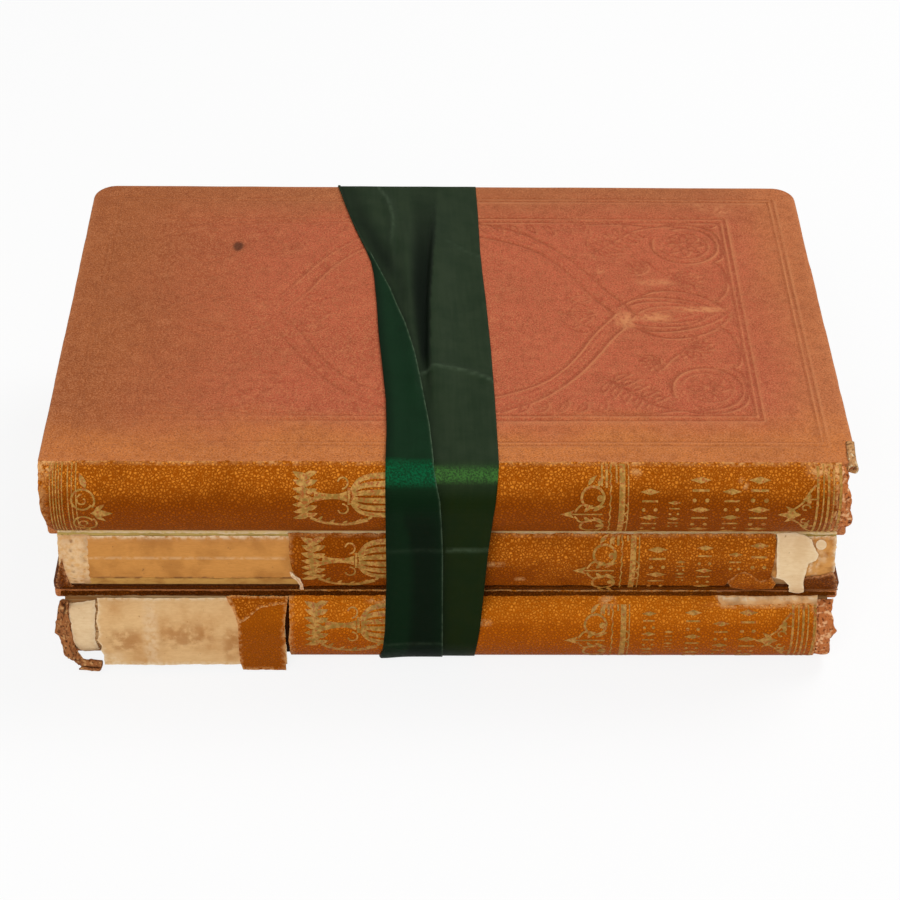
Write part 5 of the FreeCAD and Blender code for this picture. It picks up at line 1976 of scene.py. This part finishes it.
@dataclass(frozen=True)
class Stack:
    """The three books, placed by the CAD nodes."""

    def shape(self, book: str) -> SpineShape:
        """Reads one book's back from its CAD nodes.

        Args:
            book: "upper", "middle" or "lower".

        Returns:
            Its back.
        """
        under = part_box(f"{book}_front_board")[0]
        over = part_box(f"{book}_back_board")[1]
        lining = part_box(f"{book}_spine_lining")[0]
        joint = under.y / MM - SHOULDER_MM
        low, high = under.z / MM - CLOTH_MM, over.z / MM + CLOTH_MM
        return SpineShape(joint, low, high - low, joint - lining.y / MM + LINING_GAP_MM)

    def covers(self) -> None:
        """Builds the six covers. Only the uppermost one shows its stamped face."""
        pattern = PressedPattern()
        pattern.draw()
        for book in ("upper", "middle", "lower"):
            shape = self.shape(book)
            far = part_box(f"{book}_back_board")[1].y / MM + CLOTH_MM
            near = shape.joint_y
            top = shape.low + shape.thick
            split = book == "middle"
            back_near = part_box("middle_back_cloth")[0].y / MM if split else near
            back = Cover(
                f"{book}_back_cover", back_near, far, top - COVER_MM, COVER_MM,
                (f"{book}_back_cloth",) if split else (f"{book}_cover_cloth",), book == "upper", True,
            )
            back.make(pattern if book == "upper" else None)
            front = Cover(
                f"{book}_front_cover", near, far, shape.low, COVER_MM,
                (f"{book}_front_cloth",) if split else (), False, False, COVER_IN_PAINTED_SHADE if split else COVER,
            )
            front.make(None)

    def upper_spine(self) -> None:
        """Builds the upper book's spine: whole cloth, rubbed joints, frayed head and tail."""
        shape = self.shape("upper")
        g = shape.half_girth
        outline = [
            (-120.2, g), (-119.9, 7.6), (-119.4, 1.2), (-118.5, -5.5), (-117.2, -9), (-116.8, -g),
            (113.6, -g), (113.8, -6), (114.4, 0), (114.2, 5.7), (115.0, 10.4), (115.2, 12.5), (115.8, g),
        ]

        def marks(x: np.ndarray, s: np.ndarray, away: np.ndarray) -> Marks:
            """Rubs the joint, the ends and a few spots."""
            line = np.exp(-(((s - g + 0.2) / 0.45) ** 2)) * (0.7 + 0.5 * soft_noise(x, s, 6, 3))
            spots = rubbed_spots(
                x, s, ((111, 13.6, 4.8, 1.7), (86.7, 9.8, 0.8, 0.9), (55, 13.2, 1.0, 1.0),
                (-118, 14.2, 2.0, 2.2))
            )
            ends = np.clip(1 - (119.5 - np.abs(x)) / 2.6, 0,
                1) * 0.6 + np.exp(-(((x - 114.4) / 1.1) ** 2)) * 0.8
            return {"worn": np.clip(line + spots + ends, 0, 1)}

        cover_spine("upper_spine_cloth", shape, outline, SPINE, 0.0, 0.5, 1.6, 0.3, 0, marks=marks,
            seed=3)
        StampedSpine(
            108.4, -116.6, 42.3, -45.8,
            ((56.2, 62.0, -14, 8.8), (64.4, 68.3, -6.5, 5.0), (70.9, 77.1, -15, 12.4),
            (80.3, 86.0, -11, 8.9), (88.0, 94.6, -15, 12.4)),
        ).make("upper_spine_gilt", shape)
        rim = [(113.9, g), (116.4, g), (117.6, 12.2), (117.2, 10), (118.8, 5), (118.4, 1), (119.7, -4),
            (118.6, -8), (116.4, -g), (112.6, -g), (112.9, -4), (113.6, 0), (113.6, 9)]

        def frayed(x: np.ndarray, s: np.ndarray, away: np.ndarray) -> np.ndarray:
            """Roughens the frayed end."""
            return -0.35 + 0.45 * soft_noise(x, s, 2.6, 61) - 0.5 * np.clip(1 - away / 0.8, 0, 1)

        cover_spine("upper_head_fray", shape, rim, FRAY, frayed, 0.9, 0.7, 0.5, 0, seed=9)
        top = shape.low + shape.thick
        curled_sheet(
            "upper_corner_curl", ((118.7, shape.joint_y - 1.5, top - 1.3),
            (119.1, shape.joint_y + 9.6, top - 0.9)),
            (1, 0, 0), 1.75, (-130, 300), 0.45, CORNER, 71, 0.45,
        )

    def middle_spine(self) -> None:
        """Builds the middle book's spine: bared sections and lining, cloth, cream patch."""
        shape = self.shape("middle")
        g = shape.half_girth

        def sections(x: np.ndarray, s: np.ndarray, away: np.ndarray) -> np.ndarray:
            """Rounds each folded section of the pages."""
            fold = np.abs(np.sin((s + 1.2) * math.pi / 2.9))
            return -1.25 + 0.28 * np.sqrt(fold) - 0.5 * np.clip(1 - away / 0.7, 0, 1)

        def glue(x: np.ndarray, s: np.ndarray, away: np.ndarray) -> Marks:
            """Marks the stitches and the old glue at the tail."""
            stitches = np.exp(-(((x + 113.2) / 0.5) ** 2)) * (np.sin(s * 2.2) > 0.4)
            old_glue = np.exp(-(((x + 109.2) / 1.1) ** 2)) * (0.5 + 0.5 * soft_noise(x, s, 3, 40))
            return {"stain": np.clip(stitches + 0.8 * old_glue, 0, 1), "worn": 0.4 + 0 * x}

        cover_spine(
            "middle_section_backs", shape,
            [(-117.4, 11.6), (-107.6, 11.6), (-108.2, -9.8), (-117.2, -9.6), (-117.6, -7), (-117.2, 4)],
            CREAM, sections, 0.8, 0.6, 0.25, 0.3, marks=glue, seed=39,
        )

        def pasted(x: np.ndarray, s: np.ndarray, away: np.ndarray) -> np.ndarray:
            """Lays the lining down with one low ridge."""
            ridge = 0.12 * np.exp(-(((s - 3.7) / 0.5) ** 2)) * (0.5 + 0.5 * soft_noise(x, s, 16, 44))
            return -1.2 + ridge + 0.05 * soft_noise(x, s, 7, 45)

        lining = [(-108.9, 11.2), (-46.0, 11.2), (-40, 11.2), (-40, -5.2), (-46, -5.0), (-70, -5.4),
            (-90, -5.1), (-109.4, -5.3)]

        def cracked(x: np.ndarray, s: np.ndarray, away: np.ndarray) -> Marks:
            """Marks the crack along the joint, the rubbed top edge, and a painted highlight along the low
            ridge.
            """
            crack = np.exp(-(((s + 5.2) / 0.55) ** 2)) * (soft_noise(x, s, 3.5, 36) > -0.3)
            top = np.exp(-(((s - 11.2) / 0.8) ** 2))
            # Painted highlight: a pale broken line along the low ridge of the lining.
            rubs = np.exp(-(((s - 3.7) / 0.3) ** 2)) * (soft_noise(x, s, 20, 37) > 0) * 0.25
            return {"stain": np.clip(1.3 * crack, 0, 1), "worn": np.clip(top + rubs, 0, 1)}

        cover_spine("middle_lining_paper", shape, lining, KRAFT, pasted, 0.35, 0.9, 0.22, 0,
            seed=41, marks=cracked)
        strip = [(-109.4, -5.7), (-90, -5.4), (-70, -5.8), (-43.5, -5.5), (-43.5, -10.2), (-70, -10.3),
            (-110.6, -10.3)]
        cover_spine(
            "middle_joint_paper", shape, strip, STRIP, -1.3, 0.4, 0.9, 0.22, 0, seed=42,
            marks=cracked,
            replaces=("middle_spine_lining",),
        )
        # A near-black sheet behind the split joint: painted shadow.
        hollow = [(-117.4, -5.8), (117.2, -5.8), (117.2, -g + 0.4), (-117.4, -g + 0.4)]
        cover_spine("middle_hollow_shadow_sheet", shape, hollow, PAINTED_HOLLOW_SHADOW, -2.0, 0.4, 2.0, seed=38)
        hinge = [(-117.2, 12.3), (-117.0, 14.6), (117.0, 14.6), (117.2, 12.2), (60, 12.0), (0, 12.1),
            (-60, 12.0)]
        cover_spine("middle_hinge_paper", shape, hinge, HINGE, -0.5, 0.3, 1.0, 0.25, 0.4,
            seed=35)
        head = [(94, 11.4), (117.4, 11.5), (117.2, 6.6), (117.5, 1.5), (117.0, -4.6), (94, -4.8)]
        
        def streaked(x: np.ndarray, s: np.ndarray, away: np.ndarray) -> Marks:
            """Marks pale streaks and soiling along the bared end."""
            edge = np.clip(1 - away / 1.0, 0, 1)
            lines = 0.7 * np.clip(soft_noise(x * 0.9, s * 0.22, 0.9, 76) + 0.1, 0, 1)
            return {"worn": np.clip(edge + lines, 0, 1),
                "stain": np.clip(0.8 * soft_noise(x, s, 2.4, 77), 0, 1)}

        cover_spine("middle_head_paper", shape, head, RUBBED, -0.9, 0.4, 0.8, 0.4, 1.2, seed=46,
            marks=streaked)
        cloth = [
            (-48.0, 12.3), (-47.7, 10.2), (-47.5, 5.1), (-47.3, 0.8), (-46.4, -1.2), (-45.6, -2.1),
            (-44.6, -6), (-44.2, -9.4),
            (-42, -8.2), (-30, -7.6), (16, -7.5), (84.4, -7.6), (86.0, -4), (88, -1), (90.1, -0.3),
            (92.3, -1.8), (95.3, -5.6), (98.1, -3.2), (98.1, -1.8), (98.5, 4.0), (98.8, 12.3),
        ]

        def rubs(x: np.ndarray, s: np.ndarray, away: np.ndarray) -> Marks:
            """Rubs the edges and a few spots, and sets the painted light: lighter towards the top of the back
            and towards the head.
            """
            line = np.exp(-(((s - g + 1.4) / 0.5) ** 2)) * 0.7
            spots = rubbed_spots(x, s, ((22, -4.0, 1.2, 0.4), (14, 2, 3, 0.5)))
            spots = 0.7 * spots + np.clip(1 - (x + 47.9) / 0.7, 0,
                1) * (0.6 + 0.5 * soft_noise(x, s, 1.5, 34))
            # Painted light share: lighter towards the top of the back and towards the head.
            fade = smooth_step(-2, 10, s) * (0.35 + 0.65 * smooth_step(-20, 20, x)) + 0.25 * smooth_step(0,
                30, x)
            return {"worn": np.clip(line + spots, 0, 1), "fade": fade}

        cover_spine(
            "middle_spine_cloth_sheet", shape, cloth, SPINE, 0.0, 0.5, 1.4, 0.35, 0, seed=43,
            marks=rubs,
            replaces=("middle_spine_cloth",),
        )
        scrap = [(-47.7, -0.6), (-46.9, -1.0), (-46.1, -2.5), (-44.8, -3.6), (-43.9, -7.0), (-43.9, -11.2),
            (-45.1, -11.0), (-44.9, -7.4), (-45.9, -4.4), (-47.3, -2.8)]
        cover_spine("middle_torn_bit", shape, scrap, PINKISH, 0.25, 0.3, 0.6, 0.15, 0.5,
            seed=44)
        StampedSpine(
            108.4, -116.6, 47.3, -44.2,
            ((60.2, 66.3, -9, 8.8), (68.9, 71.9, -5, 4), (75.0, 80.1, -9, 9.2), (84.6, 89.0, -0.5, 7),
            (91.0, 97.0, -0.5, 10.4)),
            -8.8, 11.8, 3.6, (),
        ).make("middle_spine_gilt", shape)

        def crumpled(x: np.ndarray, s: np.ndarray, away: np.ndarray) -> np.ndarray:
            """Lifts the loose cloth in small waves."""
            return 0.12 + 0.2 * soft_noise(x, s, 2.3, 48)

        def handled(x: np.ndarray, s: np.ndarray, away: np.ndarray) -> Marks:
            """Sets the loose cloth's painted light share, with random variation, and rubs its rim."""
            rim = np.clip(1 - away / 0.35, 0, 1) * 0.5
            return {"fade": 0.5 + 0.3 * soft_noise(x, s, 3, 80), "worn": rim}

        loose = [(85.4, -4.6), (88.4, -1.2), (90.1, -0.2), (92.3, -1.6), (95.3, -4.9), (98.3, -3.1),
            (100.0, -6.1), (99.6, -9.4), (96.7, -10.8), (92.0, -11.4), (89.2, -10.0), (86.4, -8.6)]
        cover_spine("middle_loose_cloth", shape, loose, SPINE, crumpled, 0.45, 0.7, 0.35, 0,
            seed=49, marks=handled)
        patch = [
            (98.9, 12.4), (104.6, 12.6), (107.9, 11.6), (109.7, 10.7), (110.7, 7.9), (111.7, 6.0),
            (111.0, 4.0), (108.9, 2.9),
            (108.6, -0.1), (108.2, -3.7), (109.2, -10.8), (108.1, -12.6), (106.4, -12.2), (104.6, -10.8),
            (104.3, -6.5),
            (102.1, -3.7), (99.8, -2.7),
        ]

        def flaking(x: np.ndarray, s: np.ndarray, away: np.ndarray) -> np.ndarray:
            """Lifts the patch towards its lower point."""
            return 0.3 + 0.14 * soft_noise(x, s, 4, 50) + 0.5 * smooth_step(-4, -12, s)

        cover_spine("middle_patch_paper", shape, patch, PALE, flaking, 0.35, 0.9, 0.3, 0.8,
            seed=47,
                    replaces=("middle_spine_inlay",))
        dot = arc((112.6, 8.9), 1.6, 0, 345)
        cover_spine("middle_patch_dot", shape, dot, PALE, -0.45, 0.4, 0.6, 0.1, 0.5, seed=52)
        lip = [(-118.6, -g - 0.1), (-118.0, -g + 2.6), (-60, -g + 2.6), (20, -g + 2.7), (86, -g + 2.8),
            (104, -g + 2.6), (110, -g + 3.0),
               (116.8, -g + 4.2), (118.6, -g + 5.4), (120.2, -g - 0.1)]

        def darkened(x: np.ndarray, s: np.ndarray, away: np.ndarray) -> Marks:
            """Paints shade on the lip, lightening it towards the heads."""
            return {"fade": 0.15 + 0.7 * smooth_step(0, 45, x) * smooth_step(-g - 1, -g + 2, s),
                "worn": 0 * x}

        cover_spine("middle_lip_cloth", shape, lip, LIP_IN_PAINTED_SHADE, -0.3, 0.5, 1.3, 0.35, 0.3, seed=54,
            marks=darkened)
        below = self.shape("lower")

        def lighter(x: np.ndarray, s: np.ndarray, away: np.ndarray) -> Marks:
            """Paints shade on the lip's edge, lightening it towards both ends."""
            return {"fade": 0.2 + 0.6 * smooth_step(0, 45, x) + 0.2 * smooth_step(-60, -110, x),
                "worn": 0 * x}

        edge = [(-118.4, 14.5), (-60, 14.7), (20, 14.6), (60, 14.7), (108, 14.8), (119.4, 14.9),
            (119.4, 15.9), (-118.4, 15.9)]
        cover_spine("middle_lip_edge", below, edge, LIP_IN_PAINTED_SHADE, 0.5, 0.45, 0.9, 0.25, seed=75,
            marks=lighter)
        wedge = [(106.4, -4.0), (110, -3.0), (113.1, -2.8), (116.9, -1.2), (118.8, -5.8), (119.8, -g + 1),
            (106.8, -g + 1.5)]
        cover_spine("middle_head_scrap", shape, wedge, DARK_CLOTH, -0.2, 0.5, 0.9, 0.35, 0.8,
            seed=56)
        tail = [(-116.2, 3.6), (-115.6, -2.3), (-114.6, -10.5), (-113.4, -g + 0.8), (-118.6, -g + 0.4),
            (-119.2, -8.0), (-117.6, -1)]
        cover_spine("middle_tail_scrap", shape, tail, DARK_CLOTH, -0.4, 0.6, 0.8, 0.3, 0.7,
            seed=58)

    def lower_spine(self) -> None:
        """Builds the lower book's spine: bared paper, hanging tongue, cloth, frayed head."""
        shape = self.shape("lower")
        g = shape.half_girth

        def buckled(x: np.ndarray, s: np.ndarray, away: np.ndarray) -> np.ndarray:
            """Buckles the paper along two lines."""
            fold = 0.16 * (np.exp(-(((x + 93.2) / 0.5) ** 2)) + np.exp(-(((x + 88.4) / 0.5) ** 2)))
            return -0.45 + fold + 0.14 * soft_noise(x, s, 13, 52)

        def stains(x: np.ndarray, s: np.ndarray, away: np.ndarray) -> Marks:
            """Marks the brown clouds, the clean strip and the torn edge."""
            cloud = rubbed_spots(x, s, ((-99, -1, 5.5, 5), (-80, 1, 9, 5), (-66, -2, 3, 6)))
            clean = rubbed_spots(x, s, ((-91, 1, 2.3, 13.5), (-103, -9, 3, 3)))
            edge = np.clip(1 - away / 0.8, 0, 1)
            return {"stain": np.clip(0.7 * cloud - clean, 0, 1),
                "worn": np.clip(0.4 * clean + 0.8 * edge, 0, 1)}

        paper = [(-107.3, 13.9), (-67.8, 13.9), (-50, 13.6), (-49.5, -10.8), (-64, -10.8), (-106.2, -11.1),
            (-106.0, -7), (-106.8, -5.0), (-106.3, -3), (-107.4, -0.7), (-106.8, 3), (-107.4, 6.5),
            (-106.9, 10)]
        cover_spine("lower_spine_paper", shape, paper, STAINED, buckled, 0.4, 1.4, 0.25, 0,
            hanging=True, seed=51,
                    marks=stains, replaces=("lower_spine_inlay",))

        def cap_rise(x: np.ndarray, s: np.ndarray, away: np.ndarray) -> np.ndarray:
            """Pads the cap and rounds its rim."""
            return -0.9 + 0.35 * soft_noise(x, s, 5, 63) - 0.5 * np.clip(1 - away / 1.2, 0, 1)

        cap = [(-116.2, 12.2), (-108.1, 13.4), (-107.7, 9.0), (-108.3, -1.5), (-107.6, -10.7),
            (-111.2, -12.2), (-113.8, -11.7), (-115.4, -1.5), (-115.2, 5.3), (-116.6, 9)]
        cover_spine("lower_cap_paper", shape, cap, PALE, cap_rise, 0.8, 0.9, 0.35, 0.5, seed=53,
                    replaces=("lower_spine_lining",))
        tongue = [(-67.8, 14.3), (-48.8, 14.3), (-49.1, 12.0), (-49.7, 7.1), (-49.9, -12.9), (-63.3, -12.7),
            (-64.1, -8.5), (-64.1, 5.4), (-64.7, 8.0), (-65.9, 11.1), (-67.1, 12.3)]
        cover_spine("lower_spine_tongue", shape, tongue, SMOOTH, 0.0, 0.6, 1.3, 0.18, 0.4,
            hanging=True, seed=55)
        flap = [(-67.5, 14.4), (-48.7, 14.4), (-48.9, 12.2), (-50.0, 11.9), (-56.7, 10.8), (-58.6, 9.8),
            (-60.2, 8.2), (-61.6, 7.0), (-63.5, 6.1), (-65.9, 11.1)]
        cover_spine("lower_tongue_skin", shape, flap, SPINE, 0.4, 0.45, 1.0, 0.3, 0.5,
            hanging=True, seed=59)
        # A near-black sheet in the gap beside the tongue: painted shadow.
        gap = [(-51, 13.6), (-46.4, 13.6), (-46.4, -g + 0.6), (-51, -g + 0.6)]
        cover_spine("lower_gap_shadow_sheet", shape, gap, PAINTED_HOLLOW_SHADOW, -0.9, 0.4, 1.6, seed=62)
        cloth = [(-48.5, g), (-48.3, 5), (-48.8, -2), (-48.4, -9), (-48.6, -g), (114.6, -g), (113.9, 0.2),
            (113.8, 6), (113.4, 11.6),
                 (112.2, 12.5), (98, 12.1), (84.4, 11.8), (83.4, 13.1), (82.9, g)]

        def rubs(x: np.ndarray, s: np.ndarray, away: np.ndarray) -> Marks:
            """Rubs the edges and a few spots."""
            line = np.exp(-(((s - g + 0.8) / 0.7) ** 2)) * (x < 82) * 0.6
            spots = rubbed_spots(x, s, ((49.3, 13.4, 1.9, 2.0), (98, 12.4, 15, 0.6), (10, 6, 3, 0.8),
                (-20, 13.4, 4, 0.8)))
            edges = np.clip(1 - away / 0.5, 0, 1) * 0.7
            return {"worn": np.clip(line + spots + edges, 0, 1)}

        cover_spine("lower_spine_cloth", shape, cloth, FADED, 0.0, 0.5, 1.6, 0.25, 0, seed=57,
            marks=rubs)
        joint = [(82.6, g - 0.4), (83.0, 13.0), (84.0, 11.6), (96, 11.4), (113.8, 11.0), (114.2, g - 0.4)]

        def peeling(x: np.ndarray, s: np.ndarray, away: np.ndarray) -> Marks:
            """Marks the pale torn edge and the soiling."""
            top = np.exp(-(((s - 13.9) / 0.6) ** 2))
            return {"worn": np.clip(0.8 * top + 0.4 * soft_noise(x, s, 2.2, 78), 0, 1),
                "stain": np.clip(soft_noise(x, s, 3.1, 79), 0, 0.8)}

        cover_spine("lower_joint_paper", shape, joint, TORN, -0.35, 0.3, 0.8, 0.2, 0.6,
            seed=60, marks=peeling)
        StampedSpine(
            106.4, -116.6, 45.6, -43.8,
            ((59.8, 64.3, -12, 10.3), (66.8, 69.6, -5, 4), (73.0, 78.3, -13, 10.8), (81.7, 86.9, -9, 7.4),
            (89.6, 95.6, -13, 11)),
            -14.5, 12.0, 5.4, (Ornament.HEAD,),
        ).make("lower_spine_gilt", shape)
        rim = [(113.4, 13.6), (119.0, 14.2), (118.4, 9.8), (119.9, 3.3), (118.2, 0.2), (119.6, -10),
            (118.2, -g), (112.4, -g), (113.6, -5), (113.0, 3)]

        def frayed(x: np.ndarray, s: np.ndarray, away: np.ndarray) -> np.ndarray:
            """Roughens the frayed end."""
            return -0.25 + 0.4 * soft_noise(x, s, 2.8, 66) - 0.5 * np.clip(1 - away / 0.8, 0, 1)

        cover_spine("lower_head_fray", shape, rim, FRAY, frayed, 0.9, 0.8, 0.5, 0, seed=67)
        front = shape.joint_y - shape.bulge
        middle = shape.low + shape.thick / 2
        scrap = [
            (-116.2, 13.4), (-119.0, 10.5), (-120.3, 3.0), (-119.2, -2.0), (-118.6, -6.0), (-116.6, -9.5),
            (-114.6, -12.6),
            (-110.6, -13.6), (-107.0, -12.9), (-107.2, -10.2), (-111.4, -10.6), (-114.2, -8.0),
            (-115.3, -2.0), (-115.6, 5.0),
        ]

        def rumpled(x: np.ndarray, s: np.ndarray, away: np.ndarray) -> np.ndarray:
            """Crumples the torn scrap."""
            return -0.6 + 1.5 * soft_noise(x, s, 2.4, 68) - 0.8 * np.clip(1 - away / 0.9, 0, 1)

        cover_spine("lower_tail_scrap", shape, scrap, SCRAP, rumpled, 0.6, 0.7, 0.5, 0,
            hanging=True, seed=69)
        for name, start, stop, radius, turns, seed in (
            ("lower_tail_curl_top", (-116.8, front + 3.2, middle + 12.6),
            (-118.6, front + 4.2, middle + 3.0), 1.6, (20, 330), 72),
            ("lower_tail_curl_low", (-118.4, front + 3.0, middle + 0.6),
            (-116.0, front + 1.4, middle - 8.0), 1.7, (0, 320), 73),
            ("lower_foot_curl", (-113.6, front + 0.4, middle - 10.6), (-107.2, front + 0.2, middle - 11.0),
            1.7, (0, 350), 74),
        ):
            curled_sheet(name, (start, stop), (0.5, -1, 0), radius, turns, 0.4, SCRAP, seed, 0.45)

    def carried_over(self) -> None:
        """Gives the CAD pages, boards and endpapers their materials."""
        kinds = {"text_block": PAGES, "board": BOARD, "endpaper": LEAF, "lining": KRAFT, "inlay": CREAM}
        for name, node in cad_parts.items():
            for word, finish in kinds.items():
                if name.endswith(word) and not node.hide_render:
                    node.data.materials.clear()
                    node.data.materials.append(finish.make())
                    log.info("%s: %s", name, finish.name)

    def make(self) -> None:
        """Builds every book."""
        self.covers()
        self.upper_spine()
        self.middle_spine()
        self.lower_spine()
        self.carried_over()


# The studio


@dataclass(frozen=True)
class Studio:
    """Pale floor, soft lamps and the camera at the photograph's place."""

    camera_mm: tuple[float, float, float] = (-8.5333, -584.7577, 489.4964)
    down_deg: float = 38.4739
    turn_deg: float = -0.9898
    roll_deg: float = 0.7476
    lens_mm: float = 89.744
    ambient: float = 0.38

    def floor(self) -> None:
        """Adds the floor."""
        half = 3000.0
        mesh = bpy.data.meshes.new("floor")
        corners = [(-half, -half, 0), (half, -half, 0), (half, half, 0), (-half, half, 0)]
        mesh.from_pydata([tuple(c * MM for c in p) for p in corners], [], [(0, 1, 2, 3)])
        mesh.materials.append(PlainFloor("white paper sweep").make())
        floor = bpy.data.objects.new("floor", mesh)
        bpy.context.scene.collection.objects.link(floor)

    def lamp(self, name: str, place_m: tuple[float, float, float], size: float, watts: float) -> None:
        """Adds one soft lamp aimed at the stack.

        Args:
            name: its name.
            place_m: where it hangs, in metres.
            size: its width, in metres.
            watts: its power.
        """
        data = bpy.data.lights.new(name, "AREA")
        data.energy = watts
        data.shape = "SQUARE"
        data.size = size
        lamp = bpy.data.objects.new(name, data)
        lamp.location = place_m
        aim = Vector((0, 0, 0.04)) - Vector(place_m)
        lamp.rotation_euler = aim.to_track_quat("-Z", "Y").to_euler()
        bpy.context.scene.collection.objects.link(lamp)

    def world(self) -> None:
        """Lights the room evenly, and shows white behind the object."""
        world = bpy.data.worlds.new("white room")
        bpy.context.scene.world = world
        world.use_nodes = True
        tree = world.node_tree
        back = tree.nodes["Background"]
        back.inputs["Color"].default_value = (1, 1, 1, 1)
        seen = add(tree, "ShaderNodeLightPath").outputs["Is Camera Ray"]
        strength = combine(tree, "ADD", self.ambient, combine(tree, "MULTIPLY", seen, 1.0 - self.ambient))
        tree.links.new(strength, back.inputs["Strength"])

    def camera(self) -> None:
        """Adds the camera at the place solved from the photograph's corners."""
        data = bpy.data.cameras.new("camera")
        data.sensor_width = 36.0
        data.lens = self.lens_mm
        data.clip_start, data.clip_end = 0.05, 20
        camera = bpy.data.objects.new("camera", data)
        down, turn, roll = (math.radians(v) for v in (self.down_deg, self.turn_deg, self.roll_deg))
        ahead = Vector((-math.sin(turn) * math.cos(down), math.cos(turn) * math.cos(down), -math.sin(down)))
        right = Vector((math.cos(turn), math.sin(turn), 0))
        up = right.cross(ahead)
        right, up = (
            right * math.cos(roll) + up * math.sin(roll),
            up * math.cos(roll) - right * math.sin(roll),
        )
        axes = Matrix((right, up, -ahead)).transposed().to_4x4()
        axes.translation = Vector(self.camera_mm) * MM
        camera.matrix_world = axes
        bpy.context.scene.collection.objects.link(camera)
        bpy.context.scene.camera = camera

    def make(self) -> None:
        """Sets the whole studio."""
        bpy.context.scene.view_settings.view_transform = "Standard"
        self.floor()
        self.world()
        self.lamp("key softbox", (0.55, 0.35, 1.1), 0.6, 7.6)
        self.lamp("front softbox", (-0.25, -1.15, 1.0), 0.8, 9.5)
        self.camera()


def main() -> None:
    """Builds the studio, the books and the ribbon."""
    logging.basicConfig(level=logging.INFO, format="%(message)s")
    Studio().make()
    stack = Stack()
    stack.make()
    Ribbon().make(stack.shape("upper"), stack.shape("lower"))


if __name__ == "__main__":
    main()
